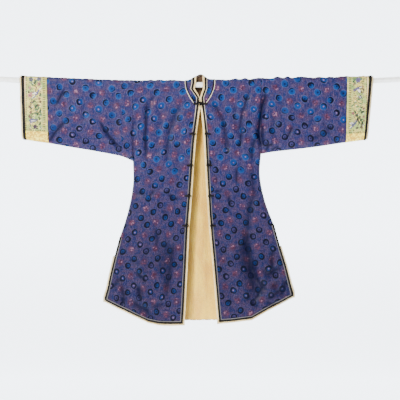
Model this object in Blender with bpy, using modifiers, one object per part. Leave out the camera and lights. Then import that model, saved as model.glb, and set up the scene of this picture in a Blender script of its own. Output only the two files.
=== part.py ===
# Short silk robe, lined with fleece, hung through its sleeves on a thin display rod.
# Metres, +Z up. The front faces -Y and +X is the viewer's right, which is the wearer's left.
# The origin is the middle of the rod. "right" and "left" in the names are the wearer's.
import math

import bmesh
import bpy
import numpy as np
from mathutils import Vector

# Driving dimensions
MM = 0.001
SEAM_GAP = 0.3 * MM
EDGE_DRAWN_IN = 0.2 * MM
SILK = 2.0 * MM
LINING = 3.0 * MM
TRIM = 1.0 * MM
PIPING_WALL = 1.3 * MM
BORDER_WALL = 1.4 * MM
FUR_REACH = 7.0 * MM
BINDING_WIDTH = 8.0 * MM
PIPING_WIDTH = 3.3 * MM
ROD_RADIUS = 11.0 * MM
ROD_END = 860 * MM
ROD_SAG = 19.0 * MM
ROD_SAG_AT = 740 * MM
ROD_BOWED_TO = 800 * MM
ROD_CLEARANCE = 0.5 * MM
FOLD_TOP = ROD_RADIUS + ROD_CLEARANCE + SILK
FOLD_SIDE = FOLD_TOP + LINING + SEAM_GAP
NECK_LIFT = 17.0 * MM
NECK_LIFT_WIDTH = 50.0 * MM
NECK_CORNER_GAP = 2.5 * MM
SEAM_ROUNDING = 40 * MM
SLIT_ROUNDING = 110 * MM
SEAM_EDGE = 3.0 * MM
SLIT_EDGE = 8.0 * MM
SLEEVE_TIP = 1.0 * MM
SLEEVE_STATIONS = 10
STRAIGHT_AT_SEAM = 2.0 * MM
KNOT_RADIUS = 5.6 * MM
CORD_RADIUS = 1.8 * MM
TAIL_LENGTH = 22 * MM
CLOSED_KNOT_AT = 1 * MM
LOOP_STEPS = 8
ROD_STEPS = 21
# Drops of a sleeve ring's points, as parts of the way to its lower edge
SLEEVE_PARTS = (0.16, 0.32, 0.48, 0.64, 0.78, 0.88, 0.95, 1)
# How far the cuff's fleece reaches into the sleeve
CUFF_FLEECE_INSIDE = 60 * MM
# Length over which a flat sleeve takes over from the body's depth
SLEEVE_EASE = 150 * MM
# Height over which a slit opens below its top
SLIT_EASE = 80 * MM
# Part of the neck's lift that is left at each drop below the rod on the back
NECK_LIFT_FADES = {16: 0.8, 36: 0.4, 48: 0.15}

# Each side's own outline, in mm out from the centre and down from the rod
SIDES = {
    "right": {
        "sign": -1,
        "seam": 270, "underarm": -306, "slit": -612,
        # columns: height, distance out
        "front_edge": [(30, 23), (0, 23), (-18, 28), (-53, 4), (-75, 5), (-94, 7), (-143, 13), (-202, 21),
                       (-283, 28), (-451, 39), (-567, 49), (-723, 56), (-960, 68)],
        "side_line": [(-306, 270), (-325, 266), (-355, 263), (-424, 269), (-493, 284), (-562, 303),
                      (-612, 322), (-676, 340), (-768, 362), (-870, 383)],
        # columns: distance out, height
        "front_hem": [(68, -957), (120, -959), (168, -957), (216, -945), (264, -920), (312, -900),
                      (360, -878), (383, -866)],
        "back_hem": [(0, -938), (100, -938), (200, -931), (262, -911), (312, -894), (383, -862)],
        "sleeve_bottom": [(270, -306), (300, -289), (336, -282), (443, -262), (514, -251), (607, -234),
                          (657, -228), (717, -217)],
        # columns: name, distance out at the top, distance out at the bottom
        "cuff": {"inner": (614, 608), "binding": (704, 698), "outer": (717, 710)},
    },
    "left": {
        "sign": 1,
        "seam": 246, "underarm": -277, "slit": -562,
        "front_edge": [(30, 18), (0, 18), (-18, 18), (-53, 5), (-75, 7), (-94, 9), (-143, 15), (-192, 20),
                       (-292, 25), (-423, 32), (-562, 41), (-675, 52), (-837, 66), (-960, 76)],
        "side_line": [(-277, 246), (-290, 237), (-355, 237), (-415, 247), (-479, 262), (-530, 283),
                      (-562, 297), (-635, 317), (-709, 341), (-782, 361), (-860, 375)],
        "front_hem": [(76, -951), (120, -947), (168, -941), (216, -935), (234, -922), (264, -901), (300, -886),
                      (320, -876), (375, -848)],
        "back_hem": [(0, -938), (100, -936), (200, -922), (262, -893), (312, -868), (375, -842)],
        "sleeve_bottom": [(246, -277), (276, -271), (347, -263), (454, -251), (526, -240), (586, -231),
                          (662, -221), (690, -217)],
        "cuff": {"inner": (590, 586), "binding": (677, 658), "outer": (689, 667)},
    },
}
# columns: drop below the rod, half depth of the front, half depth of the back
BODY_DEPTH = [(0, 16.8, 16.8), (120, 16.8, 16.8), (200, 20, 19), (300, 24, 21), (450, 26, 22),
              (600, 27, 23), (800, 29, 25), (960, 31, 26)]
# columns: drop below the rod, half depth
SLEEVE_DEPTH = [(0, 16.8), (120, 16), (250, 14)]
# columns: height, distance out of the round yoke's edge on the front
YOKE_OUTLINE = [(30, 61), (0, 61), (-18, 58), (-35, 51), (-53, 42), (-75, 27)]
# columns: height, distance out of the round yoke's edge on the back
YOKE_BACK = [(30, 61), (0, 61), (-30, 58), (-56, 48), (-960, 102)]
YOKE_BORDER = 8
YOKE_TIP = -75 * MM
# columns: height, distance from the front edge of the column that the yoke leaves below itself
COLUMN_BELOW = [(-75, 22), (-94, 26), (-150, 48), (-960, 55)]

# Largest folds. columns: side, face (-1 front, 1 back), from x, z, to x, z, half width, depth in mm
FOLDS = [
    ("right", -1, 92, -115, 128, -200, 22, 3.5),
    ("right", -1, 222, -60, 214, -260, 20, 4),
    ("right", -1, 120, -640, 128, -940, 26, 9),
    ("right", -1, 190, -560, 220, -920, 30, -6),
    ("right", -1, 285, -740, 305, -880, 24, 7),
    ("right", -1, 110, -445, 215, -450, 20, 4),
    ("right", 1, 90, -600, 110, -930, 34, 8),
    ("right", 1, 200, -500, 240, -900, 34, -6),
    ("right", -1, 400, -150, 372, -222, 22, 4),
    ("right", -1, 535, -30, 575, -110, 20, 4),
    ("right", 1, 470, -40, 520, -190, 26, 4),
    ("left", -1, 92, -115, 114, -235, 22, 3.5),
    ("left", -1, 264, -12, 244, -190, 20, 5),
    ("left", -1, 212, -590, 222, -800, 24, 9),
    ("left", -1, 130, -560, 140, -930, 32, -6),
    ("left", -1, 300, -680, 310, -820, 24, 7),
    ("left", -1, 52, -430, 112, -426, 18, 3),
    ("left", 1, 110, -560, 130, -920, 34, 8),
    ("left", 1, 215, -480, 250, -860, 34, -6),
    ("left", -1, 420, -60, 450, -200, 24, 4),
    ("left", 1, 380, -50, 420, -210, 26, 4),
]
FOLD_FADE = 38 * MM

# Rows of the body, from the front hem over the rod to the back hem. Between the hem, the slit's top
# and the underarm they are parts of the way; above that they are drops below the rod, in mm.
SLIT_PARTS = [0.18, 0.42, 0.7]
SIDE_PARTS = [0.25, 0.5, 0.75]
FRONT_DROPS = [265, 225, 185, 140, 94, 75, 53, 35, 18, 0]
FOLD_ANGLES = [-54, -20, 10, 35, 65, 78]
BACK_DROPS = [16, 36, 48, 56, 110, 200]
NECK_BINDING_ANGLE, NECK_PIPING_ANGLE = 65, 78
HEM_STEPS = [-FUR_REACH, 0, BINDING_WIDTH, BINDING_WIDTH + PIPING_WIDTH]
MIDDLE_COLUMNS = 5
BACK_COLUMNS = [0.15, 8, 16, 23]

# Columns of the body grid, by name
CENTRE, BEYOND_EDGE, EDGE, BINDING_IN, PIPING_IN = 0, 2, 3, 4, 5
YOKE_IN, YOKE_OUT = 6, 7
LINING_OUT = YOKE_OUT + MIDDLE_COLUMNS
BACK_LINING_OUT = LINING_OUT - 2
HEM_FLEECE_ROWS = 4
SIDE_PIPING, SIDE_BINDING, SIDE, SIDE_TURN = LINING_OUT + 1, LINING_OUT + 2, LINING_OUT + 3, LINING_OUT + 4

# Heights of the five knots, in mm below the rod
KNOT_DROPS = [78, 199, 325, 447, 566]

# columns: name, colour, roughness, metallic
FINISHES = {
    "silk": ((0.10, 0.11, 0.28), 0.5, 0.0),
    "binding": ((0.012, 0.011, 0.01), 0.6, 0.0),
    "piping": ((0.55, 0.52, 0.47), 0.6, 0.0),
    "fleece": ((0.78, 0.66, 0.45), 0.95, 0.0),
    "cuff": ((0.72, 0.66, 0.42), 0.6, 0.0),
    "rod": ((0.85, 0.85, 0.84), 0.35, 0.0),
}


def clear_scene():
    for item in list(bpy.data.objects):
        bpy.data.objects.remove(item, do_unlink=True)


def make_finishes():
    made = {}
    for name, (colour, roughness, metallic) in FINISHES.items():
        material = bpy.data.materials.new(name)
        material.use_nodes = True
        shader = material.node_tree.nodes["Principled BSDF"]
        shader.inputs["Base Color"].default_value = (*colour, 1)
        shader.inputs["Roughness"].default_value = roughness
        shader.inputs["Metallic"].default_value = metallic
        made[name] = material
    return made


def table(rows, at, value=1):
    """Read a table of millimetre columns at a place in metres, between its rows."""
    ordered = sorted((row[0], row[value]) for row in rows)
    return MM * float(np.interp(at / MM, [row[0] for row in ordered], [row[1] for row in ordered]))


def smooth(amount):
    amount = min(max(amount, 0), 1)
    return amount * amount * (3 - 2 * amount)


def rod_height(x):
    return ROD_SAG * (min(abs(x), ROD_BOWED_TO) / ROD_SAG_AT) ** 2


def edge_distance(side, x, z):
    """Distance inside the outline: the side line, the underarm corner or the sleeve's lower edge."""
    seam = side["seam"] * MM
    underarm = side["underarm"] * MM
    if x >= seam and z > underarm:
        return z - table(side["sleeve_bottom"], x)
    if z < underarm:
        return table(side["side_line"], z) - x
    return math.hypot(seam - x, z - underarm)


def fold_depth(name, side, x, z, face):
    total = 0
    for fold_side, fold_face, x1, z1, x2, z2, width, depth in FOLDS:
        if fold_side != name or fold_face != face:
            continue
        run = np.array([x2 - x1, z2 - z1]) * MM
        away = np.array([x - x1 * MM, z - z1 * MM])
        along = np.clip(away @ run / (run @ run), 0, 1)
        total += depth * MM * math.exp(-(np.linalg.norm(away - along * run) / (width * MM)) ** 2)
    return total


def half_depth(name, x, z, face):
    """Distance of the outer silk face from the plane of the rod."""
    side = SIDES[name]
    drop = rod_height(x) - z
    depth = table(BODY_DEPTH, drop, 1 if face < 0 else 2)
    into_sleeve = smooth((x - side["seam"] * MM) / SLEEVE_EASE)
    depth += (table(SLEEVE_DEPTH, drop) - depth) * into_sleeve
    inside = edge_distance(side, x, z)
    open_slit = smooth((side["slit"] * MM - z) / SLIT_EASE)
    edge = SEAM_EDGE + (SLIT_EDGE - SEAM_EDGE) * open_slit
    along = min(max(inside / SEAM_ROUNDING, 0), 1)
    closed = math.sqrt(1 - (1 - along) ** 2)
    hanging = math.sin(math.pi / 2 * min(inside / SLIT_ROUNDING, 1))
    rounding = closed + (hanging - closed) * open_slit
    front_clear = x - table(side["front_edge"], z) if face < 0 else FOLD_FADE
    fade = smooth(inside / FOLD_FADE) * smooth(front_clear / FOLD_FADE)
    return edge + (depth - edge) * rounding - fade * fold_depth(name, side, x, z, face)


def below_rod(name, x, z, face):
    return SIDES[name]["sign"] * x, face * half_depth(name, x, z, face), z


def over_rod(name, x, angle, top=FOLD_TOP):
    """A point where the cloth passes over the rod, or stands up from it beside the neck."""
    turn = math.radians(angle)
    radius = top + (FOLD_SIDE - top) * abs(math.sin(turn))
    spread = max(1 - (x / NECK_LIFT_WIDTH) ** 2, 0) ** 2
    lift = NECK_LIFT * spread * (1 if angle > 0 else 1 + angle / 90)
    return (SIDES[name]["sign"] * x, radius * math.sin(turn),
            rod_height(x) + radius * math.cos(turn) + lift)


def column_places(name, z, face, height=None):
    """Distances out of the body's columns at one height."""
    side = SIDES[name]
    edge = table(side["front_edge"], z)
    seam = side["seam"] * MM
    out = table(side["side_line"], z) if z < side["underarm"] * MM else seam
    if face > 0:
        first = [place * MM for place in BACK_COLUMNS]
        yoke = table(YOKE_BACK, z)
    else:
        other = SIDES["left" if name == "right" else "right"]
        between = (edge + table(other["front_edge"], z)) / 2
        reach = min(FUR_REACH, between - SEAM_GAP)
        first = [edge - reach - 16 * MM, edge - reach - 8 * MM, edge - reach, edge]
        yoke = table(YOKE_OUTLINE, z) if z > YOKE_TIP else edge + table(COLUMN_BELOW, z)
    first += [first[EDGE] + BINDING_WIDTH, first[EDGE] + BINDING_WIDTH + PIPING_WIDTH]
    first += [yoke - YOKE_BORDER * MM, yoke]
    last = [out - BINDING_WIDTH - PIPING_WIDTH, out - BINDING_WIDTH, out]
    middle = np.linspace(yoke, last[0], MIDDLE_COLUMNS + 2)[1:-1]
    return first + list(middle) + last


def hem_row(name, face, step):
    """The row at a step above the hem, whose corner columns stay on the outline."""
    hem = SIDES[name]["front_hem" if face < 0 else "back_hem"]
    low = min(row[1] for row in hem) * MM
    places = column_places(name, low, face)
    return [(x, table(hem, x) + step) for x in places]


def body_row(name, face, drop):
    """A row below the rod: its height eases from level at the rod to the hem's own line."""
    hem = SIDES[name]["front_hem" if face < 0 else "back_hem"]
    low = abs(table(hem, 0))
    part = drop * MM / low
    level = column_places(name, -drop * MM, face)
    heights = [rod_height(x) * (1 - part) + part * table(hem, x) for x in level]
    for again in range(3):
        level = [column_places(name, z, face)[column] for column, z in enumerate(heights)]
        heights = [rod_height(x) * (1 - part) + part * table(hem, x) for x in level]
    return list(zip(level, heights))


def side_drops(name, face):
    """Drops at the centre of the rows that meet the slit's top, the underarm and the side between."""
    side = SIDES[name]
    hem = side["front_hem" if face < 0 else "back_hem"]
    low = -table(hem, 0) / MM
    drops = []
    for height in (side["slit"], side["underarm"]):
        x = table(side["side_line"], height * MM)
        rod = rod_height(x)
        drops.append(low * (height * MM - rod) / (table(hem, x) - rod))
    slit, underarm = drops
    between = [underarm + (slit - underarm) * part for part in SIDE_PARTS]
    below = [low - (low - slit) * part for part in SLIT_PARTS[::-1]]
    return slit, underarm, between, below


def finish_row(name, face, pairs):
    """Turn a row's flat places into points, with the seam's turned edge or the fleece beyond a slit."""
    side = SIDES[name]
    points = [below_rod(name, x, z, face) for x, z in pairs]
    x, z = pairs[SIDE]
    if z < side["slit"] * MM - SEAM_GAP:
        x, y, z = below_rod(name, x + FUR_REACH, z, face)
        slope = (points[SIDE][1] - points[SIDE_BINDING][1]) * FUR_REACH / BINDING_WIDTH
        points.append((x, points[SIDE][1] + slope, z))
    else:
        points.append((points[SIDE][0], face * SEAM_GAP / 2, z))
    return points


def body_grid(name):
    """All the points of one half's outer face, and the row numbers that its pieces use."""
    grid = []
    rows = {}
    for step in HEM_STEPS:
        grid.append(finish_row(name, -1, hem_row(name, -1, step)))
    slit, underarm, between, below = side_drops(name, -1)
    rows["front_drop"] = {}
    for drop in below[::-1] + [slit] + between[::-1] + [underarm] + FRONT_DROPS:
        rows["front_drop"][drop] = len(grid)
        grid.append(finish_row(name, -1, body_row(name, -1, drop)))
    rows["front_slit"] = rows["front_drop"][slit]
    rows["front_arm"] = rows["front_drop"][underarm]
    rows["angle"] = {}
    for angle in FOLD_ANGLES:
        rows["angle"][angle] = len(grid)
        places = column_places(name, 0, -1 if angle < 0 else 1)
        if angle == 10:
            places[BEYOND_EDGE] = column_places(name, 0, -1)[BEYOND_EDGE]
        points = [over_rod(name, x, angle) for x in places]
        points.append((points[SIDE][0] + SIDES[name]["sign"] * FUR_REACH, *points[SIDE][1:]))
        grid.append(points)
    slit, underarm, between, below = side_drops(name, 1)
    rows["back_drop"] = {}
    for drop in BACK_DROPS + [underarm] + between + [slit] + below:
        rows["back_drop"][drop] = len(grid)
        grid.append(finish_row(name, 1, body_row(name, 1, drop)))
    rows["back_slit"] = rows["back_drop"][slit]
    rows["back_arm"] = rows["back_drop"][underarm]
    for step in reversed(HEM_STEPS):
        grid.append(finish_row(name, 1, hem_row(name, 1, step)))
    points = np.array(grid)
    lift_back_neck(points, rows)
    return points, rows


def lift_back_neck(points, rows):
    """Below the back neck the lift fades out down the back."""
    for drop, part in NECK_LIFT_FADES.items():
        row = points[rows["back_drop"][drop]]
        spread = np.clip(1 - (row[:, 0] / NECK_LIFT_WIDTH) ** 2, 0, None) ** 2
        row[:, 2] += NECK_LIFT * spread * part


def grid_normals(points, sign):
    along = np.gradient(points, axis=0)
    across = np.gradient(points, axis=1)
    normals = np.cross(across, along) * sign
    lengths = np.linalg.norm(normals, axis=2, keepdims=True)
    return normals / np.maximum(lengths, 1e-12)


def ring_normals(points, sign):
    wrapped = np.concatenate([points[:, -1:], points, points[:, :1]], axis=1)
    around = (wrapped[:, 2:] - wrapped[:, :-2]) / 2
    along = np.gradient(points, axis=0)
    normals = np.cross(around, along) * sign
    return normals / np.linalg.norm(normals, axis=2, keepdims=True)


def make_object(name, mesh, group, finish):
    item = bpy.data.objects.new(name, mesh)
    group.objects.link(item)
    item.data.materials.clear()
    item.data.materials.append(finish)
    return item


def add_wall(item, thickness, outward):
    wall = item.modifiers.new("wall", "SOLIDIFY")
    wall.thickness = thickness
    wall.offset = 1 if outward else -1
    wall.use_rim = True
    wall.use_even_offset = False


def drawn_in(points, taken, row, column, distance):
    """A grid point moved off the free edges of the cells that are taken, along the grid's own lines."""
    place = points[row, column].copy()
    above = (taken(row, column - 1), taken(row, column))
    below = (taken(row - 1, column - 1), taken(row - 1, column))
    gone = 4 - sum(above) - sum(below)
    if gone == 0:
        return place
    left, right = above[0] + below[0], above[1] + below[1]
    across = (right > left) - (left > right)
    along = (sum(above) > sum(below)) - (sum(below) > sum(above))
    for step, other in ((across, (row, column + across)), (along, (row + along, column))):
        if step:
            other = (other[0], other[1] % points.shape[1])
            way = points[other] - points[row, column]
            place += way / max(np.linalg.norm(way), 1e-9) * distance
    return place


def cell_sheet(name, points, mask, sign, group, finish, thickness, outward=False, ring=False, turned=0):
    """A wall over the chosen cells of a grid, its free edges drawn in to leave the seam gap.

    Cells before the column "turned" are split along their other diagonal, as on the mirrored half.
    """
    rows, columns = mask.shape
    wide = points.shape[1]

    def taken(row, column):
        column = column % wide if ring else column
        return int(0 <= row < rows and 0 <= column < columns and mask[row, column])

    mesh = bmesh.new()
    made = {}

    def corner(row, column):
        if (row, column) not in made:
            made[row, column] = mesh.verts.new(drawn_in(points, taken, row, column, EDGE_DRAWN_IN))
        return made[row, column]

    for row, column in np.argwhere(mask):
        right = (column + 1) % wide if ring else column + 1
        around = [corner(row, column), corner(row, right), corner(row + 1, right), corner(row + 1, column)]
        if column < turned:
            around = around[1:] + around[:1]
        for corners in (around[:3], [around[0]] + around[2:]):
            mesh.faces.new(corners if sign > 0 else corners[::-1])
    data = bpy.data.meshes.new(name)
    mesh.to_mesh(data)
    mesh.free()
    data.shade_smooth()
    item = make_object(name, data, group, finish)
    add_wall(item, thickness, outward)
    return item


def body_masks(points, rows):
    """Which cells of the body grid each sewn piece takes."""
    count, wide = points.shape[0] - 1, points.shape[1] - 1
    front_slit, front_arm = rows["front_slit"], rows["front_arm"]
    back_arm, back_slit = rows["back_arm"], rows["back_slit"]
    neck = rows["angle"][35]
    neck_binding = rows["angle"][NECK_BINDING_ANGLE]
    neck_piping = rows["angle"][NECK_PIPING_ANGLE]
    top = rows["front_drop"][0]
    back_top = rows["back_drop"][16]
    empty = np.zeros((count, wide), bool)
    masks = {}

    panel = empty.copy()
    panel[1:count - 1, EDGE:SIDE] = True
    panel[neck:count - 1, CENTRE:EDGE] = True
    panel[front_slit:front_arm, SIDE] = True
    panel[back_arm:back_slit, SIDE] = True
    masks["body"] = panel

    binding = empty.copy()
    binding[1:neck_binding, EDGE] = True
    binding[neck:neck_binding, CENTRE:BINDING_IN] = True
    binding[1, EDGE:SIDE] = True
    binding[1:front_slit, SIDE_BINDING] = True
    masks["edge_binding"] = binding

    piping = empty.copy()
    piping[2:rows["angle"][10], BINDING_IN] = True
    piping[2, BINDING_IN:SIDE_BINDING] = True
    piping[2:front_slit, SIDE_PIPING] = True
    masks["edge_piping"] = piping

    back_binding = empty.copy()
    back_binding[count - 2, CENTRE:SIDE] = True
    back_binding[back_slit:count - 1, SIDE_BINDING] = True
    masks["back_hem_binding"] = back_binding

    back_piping = empty.copy()
    back_piping[count - 3, CENTRE:SIDE_BINDING] = True
    back_piping[back_slit:count - 2, SIDE_PIPING] = True
    masks["back_hem_piping"] = back_piping

    tip = rows["front_drop"][-round(YOKE_TIP / MM)]
    yoke_low, yoke_end = rows["back_drop"][48], rows["back_drop"][56]
    yoke = empty.copy()
    yoke[tip:yoke_low, PIPING_IN:YOKE_IN] = True
    yoke[neck_piping:yoke_low, CENTRE:YOKE_IN] = True
    masks["yoke"] = yoke

    border = empty.copy()
    border[tip:yoke_end, YOKE_IN] = True
    border[yoke_low:yoke_end, CENTRE:YOKE_OUT] = True
    masks["yoke_border"] = border

    front_lining = empty.copy()
    front_lining[0:top, BEYOND_EDGE:YOKE_OUT] = True
    front_lining[0:HEM_FLEECE_ROWS, YOKE_OUT:LINING_OUT] = True
    front_lining[top:rows["angle"][10], BEYOND_EDGE:PIPING_IN] = True
    masks["front_lining"] = front_lining

    slit_fur = empty.copy()
    slit_fur[0:front_slit - 1, LINING_OUT:SIDE_TURN] = True
    masks["front_slit_fleece"] = slit_fur

    back_fur = empty.copy()
    back_fur[back_slit + 1:count, LINING_OUT:SIDE_TURN] = True
    masks["back_slit_fleece"] = back_fur

    back_lining = empty.copy()
    back_lining[back_top:count, CENTRE:BACK_LINING_OUT] = True
    back_lining[count - HEM_FLEECE_ROWS:count, BACK_LINING_OUT:LINING_OUT] = True
    back_lining[neck:back_top, CENTRE:PIPING_IN] = True
    back_lining[rows["angle"][10]:neck, CENTRE:BEYOND_EDGE] = True
    masks["back_lining"] = back_lining
    return masks


def make_body(name, group, finish):
    """One half of the body in one cut, with the trims and linings that follow its points."""
    sign = SIDES[name]["sign"]
    points, rows = body_grid(name)
    normals = grid_normals(points, sign)
    masks = body_masks(points, rows)
    proud = points + normals * SEAM_GAP
    inner = points - normals * (SILK + SEAM_GAP)
    cell_sheet("body_" + name, points, masks["body"], sign, group, finish["silk"], SILK)
    # columns: piece, finish, wall
    for piece, kind, wall in (("edge_binding", "binding", TRIM), ("edge_piping", "piping", PIPING_WALL),
                              ("back_hem_binding", "binding", TRIM), ("back_hem_piping", "piping", PIPING_WALL),
                              ("yoke", "silk", TRIM), ("yoke_border", "binding", BORDER_WALL)):
        cell_sheet(piece + "_" + name, proud, masks[piece], sign, group, finish[kind], wall, outward=True)
    for piece in ("front_lining", "front_slit_fleece", "back_slit_fleece"):
        cell_sheet(piece + "_" + name, inner, masks[piece], sign, group, finish["fleece"], LINING)
    inner[rows["angle"][10], BEYOND_EDGE, 0] -= sign * NECK_CORNER_GAP
    return inner, masks["back_lining"]


def make_back_lining(halves, group, finish):
    """The two halves' inner faces joined at the centre into one fleece back."""
    right, right_mask = halves["right"]
    left, left_mask = halves["left"]
    centre = (right[:, :1] + left[:, :1]) / 2
    centre[:, :, 0] = 0
    points = np.concatenate([right[:, :0:-1], centre, left[:, 1:]], axis=1)
    mask = np.concatenate([right_mask[:, ::-1], left_mask], axis=1)
    cell_sheet("back_lining", points, mask, 1, group, finish["fleece"], LINING, turned=right_mask.shape[1])


def sleeve_ring(name, top_place, bottom_place):
    """One closed section of a sleeve, from its top over the front, bottom and back."""
    side = SIDES[name]
    sign = side["sign"]
    seam = side["seam"] * MM
    cuff = side["cuff"]["inner"][0] * MM
    padded = smooth((top_place - seam) / (cuff - seam))
    top = FOLD_TOP + (FOLD_SIDE - FOLD_TOP) * padded
    points = []
    for angle in (0, -30, -60, -90):
        points.append(over_rod(name, top_place, angle, top))
    low = table(side["sleeve_bottom"], bottom_place)
    for face, order in ((-1, SLEEVE_PARTS), (1, SLEEVE_PARTS[::-1])):
        for part in order:
            x = top_place + (bottom_place - top_place) * part
            z = rod_height(x) * (1 - part) + low * part
            depth = half_depth(name, x, z, face)
            points.append((sign * x, face * depth, z))
        if face < 0:
            points.append((sign * bottom_place, 0, low - SLEEVE_TIP))
    for angle in (90, 60, 30):
        points.append(over_rod(name, top_place, angle, top))
    return points


def make_sleeve(name, group, finish):
    """The sleeve, its pale cuff band with a dark edge, and the fleece that lines the cuff."""
    side = SIDES[name]
    sign = side["sign"]
    cuff = side["cuff"]
    seam = side["seam"] * MM + SEAM_GAP
    inner = [place * MM for place in cuff["inner"]]
    binding = [place * MM for place in cuff["binding"]]
    outer = [place * MM for place in cuff["outer"]]
    stations = [(seam + (inner[0] - seam) * part, seam + (inner[1] - seam) * part)
                for part in np.linspace(0, 1, SLEEVE_STATIONS)]
    band = [inner, [(a + b) / 2 for a, b in zip(inner, binding)], binding, outer]
    beyond = [outer[0] + FUR_REACH, outer[1] + FUR_REACH]
    inside = [outer[0] - CUFF_FLEECE_INSIDE, outer[1] - CUFF_FLEECE_INSIDE]
    pieces = (("sleeve_", stations, "silk", 0, SILK, False),
              ("cuff_band_", band, "cuff", 0, SILK, False),
              ("cuff_binding_", [binding, outer], "binding", SEAM_GAP, TRIM, True),
              ("cuff_fleece_", [inside, outer, beyond], "fleece", -SILK - SEAM_GAP, LINING, False))
    for piece, places, kind, lift, wall, outward in pieces:
        rings = [sleeve_ring(name, *place) for place in places]
        if piece == "sleeve_":
            straight = [(x + sign * STRAIGHT_AT_SEAM, y, z) for x, y, z in rings[0]]
            rings.insert(1, straight)
        points = np.array(rings)
        points = points + ring_normals(points, sign) * lift
        mask = np.ones((len(rings) - 1, points.shape[1]), bool)
        cell_sheet(piece + name, points, mask, sign, group, finish[kind], wall, outward, ring=True)


def cord(name, places, radius, group, finish):
    curve = bpy.data.curves.new(name, "CURVE")
    curve.dimensions = "3D"
    curve.bevel_depth = radius
    curve.bevel_resolution = 2
    curve.use_fill_caps = True
    line = curve.splines.new("POLY")
    line.points.add(len(places) - 1)
    for point, place in zip(line.points, places):
        point.co = (*place, 1)
    item = bpy.data.objects.new(name, curve)
    group.objects.link(item)
    curve.materials.append(finish)
    return item


def make_rod(group, finish):
    places = []
    for x in np.linspace(-ROD_BOWED_TO, ROD_BOWED_TO, ROD_STEPS):
        places.append((x, 0, rod_height(x)))
    high = rod_height(ROD_BOWED_TO)
    ends = [(-ROD_END, 0, high), (-ROD_END + 30 * MM, 0, high)]
    places = ends + places + [(-x, y, z) for x, y, z in reversed(ends)]
    return cord("display_rod", places, ROD_RADIUS, group, finish["rod"])


def trim_face(name, drop):
    """Where a closure lies: the front edge's place, its height and the face of the trim."""
    z = -drop * MM
    x = table(SIDES[name]["front_edge"], z)
    face = max(half_depth(name, x + step * MM, z + rise * MM, -1)
               for step in (0, 10, 20, 30) for rise in (-6, 0, 6))
    return x, z, -face - SEAM_GAP * 2 - PIPING_WALL - CORD_RADIUS


def make_closures(group, finish):
    """Five knots on the wearer's left edge and their loops on the right edge. The top pair is closed.

    A knot's ball sits on the end of its tail. Where it is closed, the ball stands in the loop, over it.
    """
    ring = KNOT_RADIUS + CORD_RADIUS + 0.6 * MM
    strand = CORD_RADIUS + SEAM_GAP
    spread = math.degrees(math.asin(strand / ring))
    for number, drop in enumerate(KNOT_DROPS, 1):
        fastened = number == 1
        x, z, y = trim_face("left", drop)
        ball_x = CLOSED_KNOT_AT if fastened else x - 2 * MM
        ball_at = Vector((ball_x, y - KNOT_RADIUS - CORD_RADIUS - SEAM_GAP, z))
        mesh = bmesh.new()
        bmesh.ops.create_uvsphere(mesh, u_segments=8, v_segments=6, radius=KNOT_RADIUS)
        bmesh.ops.translate(mesh, verts=mesh.verts, vec=ball_at)
        data = bpy.data.meshes.new("knot_ball_%d" % number)
        mesh.to_mesh(data)
        mesh.free()
        data.shade_smooth()
        make_object("knot_ball_%d" % number, data, group, finish["binding"])
        tail = [(ball_x - CORD_RADIUS, y, z), (x + TAIL_LENGTH, y, z)]
        cord("knot_tail_%d" % number, tail, CORD_RADIUS, group, finish["binding"])
        x, z, loop_y = trim_face("right", drop)
        y = min(y, loop_y) - 2 * CORD_RADIUS - SEAM_GAP if fastened else loop_y
        centre_x = ball_x if fastened else -x + 3 * MM
        turn = [180 - spread - step * (360 - 2 * spread) / LOOP_STEPS for step in range(LOOP_STEPS + 1)]
        loop = [(centre_x + ring * math.cos(math.radians(angle)), y,
                 z + ring * math.sin(math.radians(angle))) for angle in turn]
        end = -x - TAIL_LENGTH
        loop = [(end, loop_y, z + strand)] + loop + [(end, loop_y, z - strand)]
        cord("knot_loop_%d" % number, loop, CORD_RADIUS, group, finish["binding"])


def main():
    clear_scene()
    group = bpy.data.collections.new("changshan_robe_on_rod")
    bpy.context.scene.collection.children.link(group)
    finish = make_finishes()
    make_rod(group, finish)
    halves = {}
    for name in SIDES:
        halves[name] = make_body(name, group, finish)
        make_sleeve(name, group, finish)
    make_back_lining(halves, group, finish)
    make_closures(group, finish)


main()
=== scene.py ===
# Short fleece-lined silk robe with pale embroidered cuffs, hung through its sleeves on a thin rod.
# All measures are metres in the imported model's own frame; x is the viewer's right, z is up.
import math
import random

import bmesh
import bpy
import numpy as np
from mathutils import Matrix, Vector


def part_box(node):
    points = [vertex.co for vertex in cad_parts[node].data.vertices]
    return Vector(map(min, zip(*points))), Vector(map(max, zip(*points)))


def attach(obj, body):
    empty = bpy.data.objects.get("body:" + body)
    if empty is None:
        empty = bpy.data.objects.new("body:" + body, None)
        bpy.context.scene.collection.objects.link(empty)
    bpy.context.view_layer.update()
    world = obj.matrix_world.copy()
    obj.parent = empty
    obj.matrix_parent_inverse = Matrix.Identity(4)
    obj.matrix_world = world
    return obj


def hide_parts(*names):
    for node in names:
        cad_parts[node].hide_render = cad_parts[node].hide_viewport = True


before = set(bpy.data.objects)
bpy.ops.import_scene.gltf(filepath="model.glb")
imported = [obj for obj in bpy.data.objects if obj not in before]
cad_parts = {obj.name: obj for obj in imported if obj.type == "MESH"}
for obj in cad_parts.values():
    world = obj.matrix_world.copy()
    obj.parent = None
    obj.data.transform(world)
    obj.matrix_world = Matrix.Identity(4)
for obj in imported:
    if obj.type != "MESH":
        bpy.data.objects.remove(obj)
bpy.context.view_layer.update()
print("frame loaded:", len(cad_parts), "nodes")

mm = 0.001
rodLine = {"sag": 19 * mm, "sagAt": 740 * mm, "bowedTo": 800 * mm, "foldRadius": 16.8 * mm}


def rodHeight(x):
    return rodLine["sag"] * (np.minimum(np.abs(x), rodLine["bowedTo"]) / rodLine["sagAt"]) ** 2


def smooth(value):
    part = np.clip(value, 0, 1)
    return part * part * (3 - 2 * part)


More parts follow.
